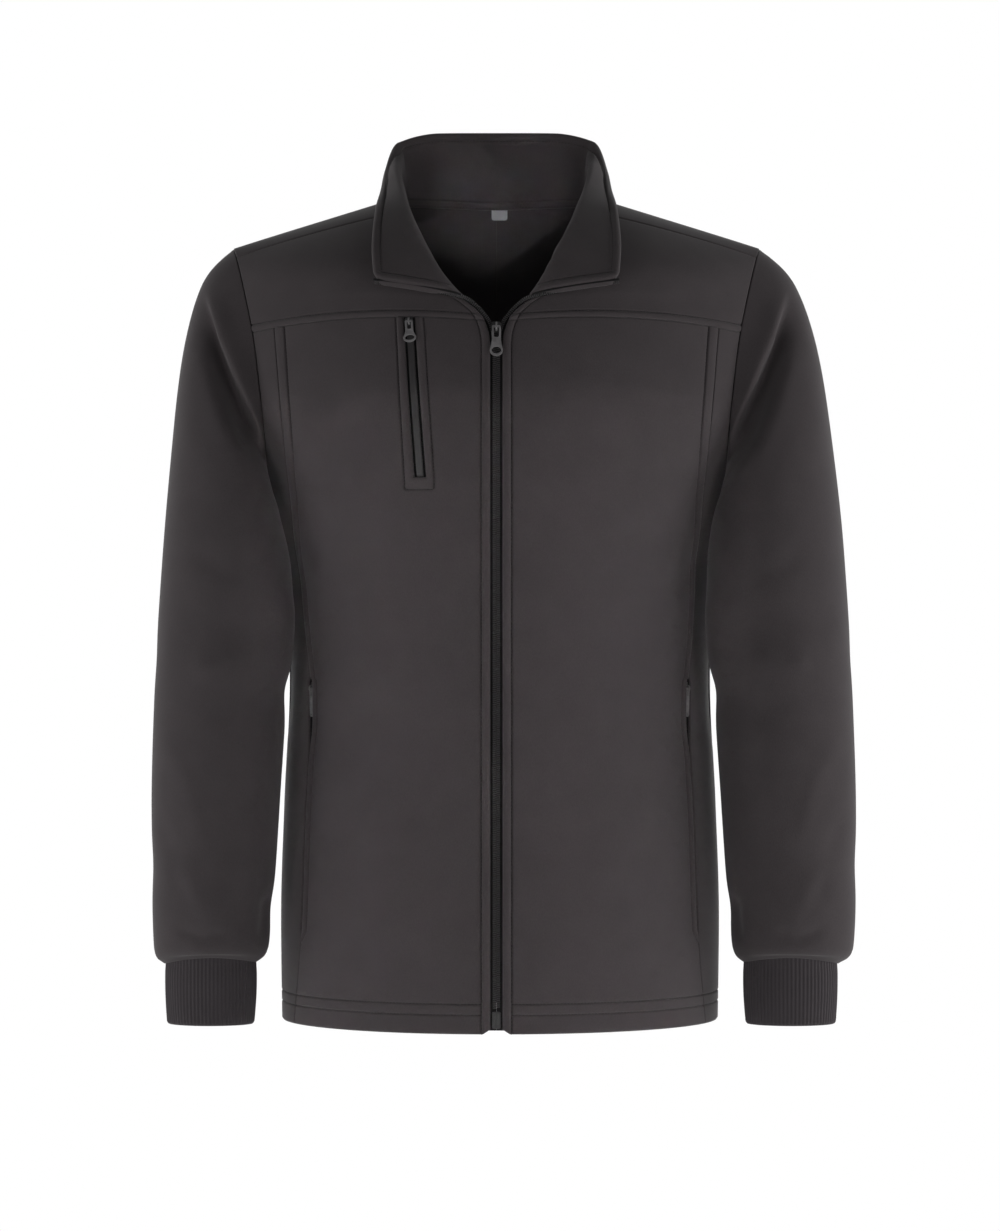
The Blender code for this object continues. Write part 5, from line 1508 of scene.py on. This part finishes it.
def buildPull(kind, node, matrix, carrier):
    size = metalSizes
    half, slot, slotEnd, flare, ring, ringTall, hole, holeTall, length = size["pulls"][kind]
    bar, thick, panel, edge = size["bar"], size["pullThick"], size["panel"], size["panelEdge"]
    centre = ringTall - length
    begin, radius = size["ringFrom"], size["pullCorner"]
    sweep = np.linspace(begin, -math.pi - begin, 41)
    corner = np.linspace(0, math.pi / 2, 6)
    right = [(half - radius + radius * math.sin(a), bar - radius + radius * math.cos(a)) for a in corner]
    low, wide = centre + ringTall * math.sin(begin), ring * math.cos(begin)
    for u in np.linspace(0, 1, 9)[:-1]:
        right.append((half + (wide - half) * u ** 1.4, -flare + (low + flare) * u))
    outline = right + [(ring * math.cos(a), centre + ringTall * math.sin(a)) for a in sweep]
    outline += [(-x, y) for x, y in right[::-1]]
    circle = np.linspace(0, 2 * math.pi, 33)[:-1]
    holes = [rounded(-slot, -slotEnd, slot, -bar, slot * 0.6),
             [(hole * math.cos(a), centre + holeTall * math.sin(a)) for a in circle]]
    # flat panel let in between slot and ring, where there is room
    foot, head = centre + holeTall + edge, -slotEnd - edge
    rim = [rounded(-half + edge, foot, half - edge, head, 0.4)] if head - foot > 1.5 else []
    shapes = [stamped([outline] + holes, -thick / 2, thick / 2 - panel / 2, size["bevel"]),
              stamped([outline] + holes + rim, thick / 2 - size["panelDepth"], thick / 2, size["bevel"])]
    metalPiece(node + "_metal", node, shapes, matrix, carrier)


def buildMetal():
    size = metalSizes
    height, step = size["frontHeight"], 4.0
    depth, depthAbove = (-float(column(torso["rows"], 2, height + rise)) for rise in (0, step))
    up = unit(np.array([0.0, depthAbove - depth, step]))
    matrix = seat("front", 1, np.array([0.0, depth, height]), up, np.cross([1.0, 0.0, 0.0], up))
    buildSlider("front", "front_slider", matrix, True)
    buildPull("front", "front_pull", matrix, "front_pull_tab")
    level = np.array(size["chestLevel"])
    at, footAt = ((slitAcross(spot, 0) + slitAcross(spot, 1)) / 2 for spot in (level, level - 20))
    place, _, out = bodyFrame(at, level)
    matrix = seat("chest", -1, place, unit(place - body(footAt, level - 20)), out)
    buildSlider("chest", "chest_slider", matrix)
    buildPull("chest", "chest_pull", matrix, "chest_pull_tab")
    level = np.array(size["pocketLevel"])
    place, _, out = bodyFrame(princess(level), level)
    up = unit(place - body(princess(level - 24), level - 24))
    for side, word in hands:
        matrix = seat("pocket", side, place, up, out)
        buildSlider("pocket", "pocket_slider_" + word, matrix)
        buildPull("pocket", "pocket_pull_" + word, matrix, "pocket_pull_tab_" + word)


def buildBox():
    # box at the foot of the front zip, with its slot and raised sides
    size = metalSizes
    width, thick, tall = size["box"]
    w, h, rim = width / 2, tall / 2, size["boxRim"]
    foot = zipSizes["foot"]
    depth = -float(column(torso["rows"], 2, foot)) + size["boxOut"]
    middle = foot - size["boxGap"] - h
    turn = Matrix(((1, 0, 0, 0), (0, 0, -1, depth * mm), (0, 1, 0, middle * mm), (0, 0, 0, 1)))
    slotHalf, slotFoot, slotTop = size["boxSlot"]
    slot = rounded(-slotHalf, -h + slotFoot, slotHalf, h - slotTop, 0.3)
    shapes = [stamped([rounded(-w, -h, w, h, 1.2), slot], -thick, 0, 0.35),
              stamped([rounded(-w + rim, -h + rim, w - rim, h - rim, 0.8)], -thick, -0.5, 0.2)]
    metalPiece("zip_box_metal", "zip_box", shapes, turn, wearer, "dull")


labelSizes = {
    "width": 14.0, "tall": 13.0, "thick": 1.0, "corner": 1.6, "step": 0.5,
    "drop": 2.0, "middle": 2.6, "hang": 2.0, "off": 0.5, "bow": 0.02,
    "border": 1.9, "borderWidth": 0.35, "borderDepth": 0.25,
}


def buildLabel():
    size = labelSizes
    width, tall, cut = size["width"], size["tall"], size["corner"]
    below, neck = torso["backRise"][-2:]
    slope = unit(np.array([0.0, below[1] - neck[1], below[2] - neck[2]]))
    top = np.array([size["middle"], neck[1], neck[2]]) + slope * size["drop"]
    down = unit(slope + np.array([0.0, 0.0, -size["hang"]]))    # hangs from its upper edge
    inward = np.cross(down, [1.0, 0.0, 0.0])
    inward = inward * -np.sign(inward[1])
    ends = np.array([0, 0.2, 0.5, 1.0])
    side = spaced(width, ends, ends, size["step"]) - width / 2
    fall = spaced(tall, ends, ends, size["step"])
    x, s = np.meshgrid(side, fall)
    place = top + points(x, 0, 0) + down * s[..., None]
    edge = np.minimum(np.minimum(s, tall - s), width / 2 - np.abs(x))
    # rounded corners, and a border woven round the bare middle
    beside, beyond = np.abs(x) - width / 2 + cut, np.abs(s - tall / 2) - tall / 2 + cut
    kept = np.hypot(np.maximum(beside, 0), np.maximum(beyond, 0)) <= cut
    faces = kept[:-1, :-1] & kept[1:, :-1] & kept[:-1, 1:] & kept[1:, 1:]
    border = size["borderDepth"] * np.exp(-((edge - size["border"]) / size["borderWidth"]) ** 2)
    depth = cloth["thick"] + size["off"] + size["bow"] * x * x
    near = depth + size["thick"] + (0.1 - rolled(edge, 0.3) - border)
    grids = [place + inward * distance[..., None] for distance in (near, depth)]
    piece = wall("label_patch", [(*grids, faces)], "label")
    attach(piece, wearer)
    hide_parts("label")


buildMetal()
buildBox()
buildLabel()
print("metal and label built")
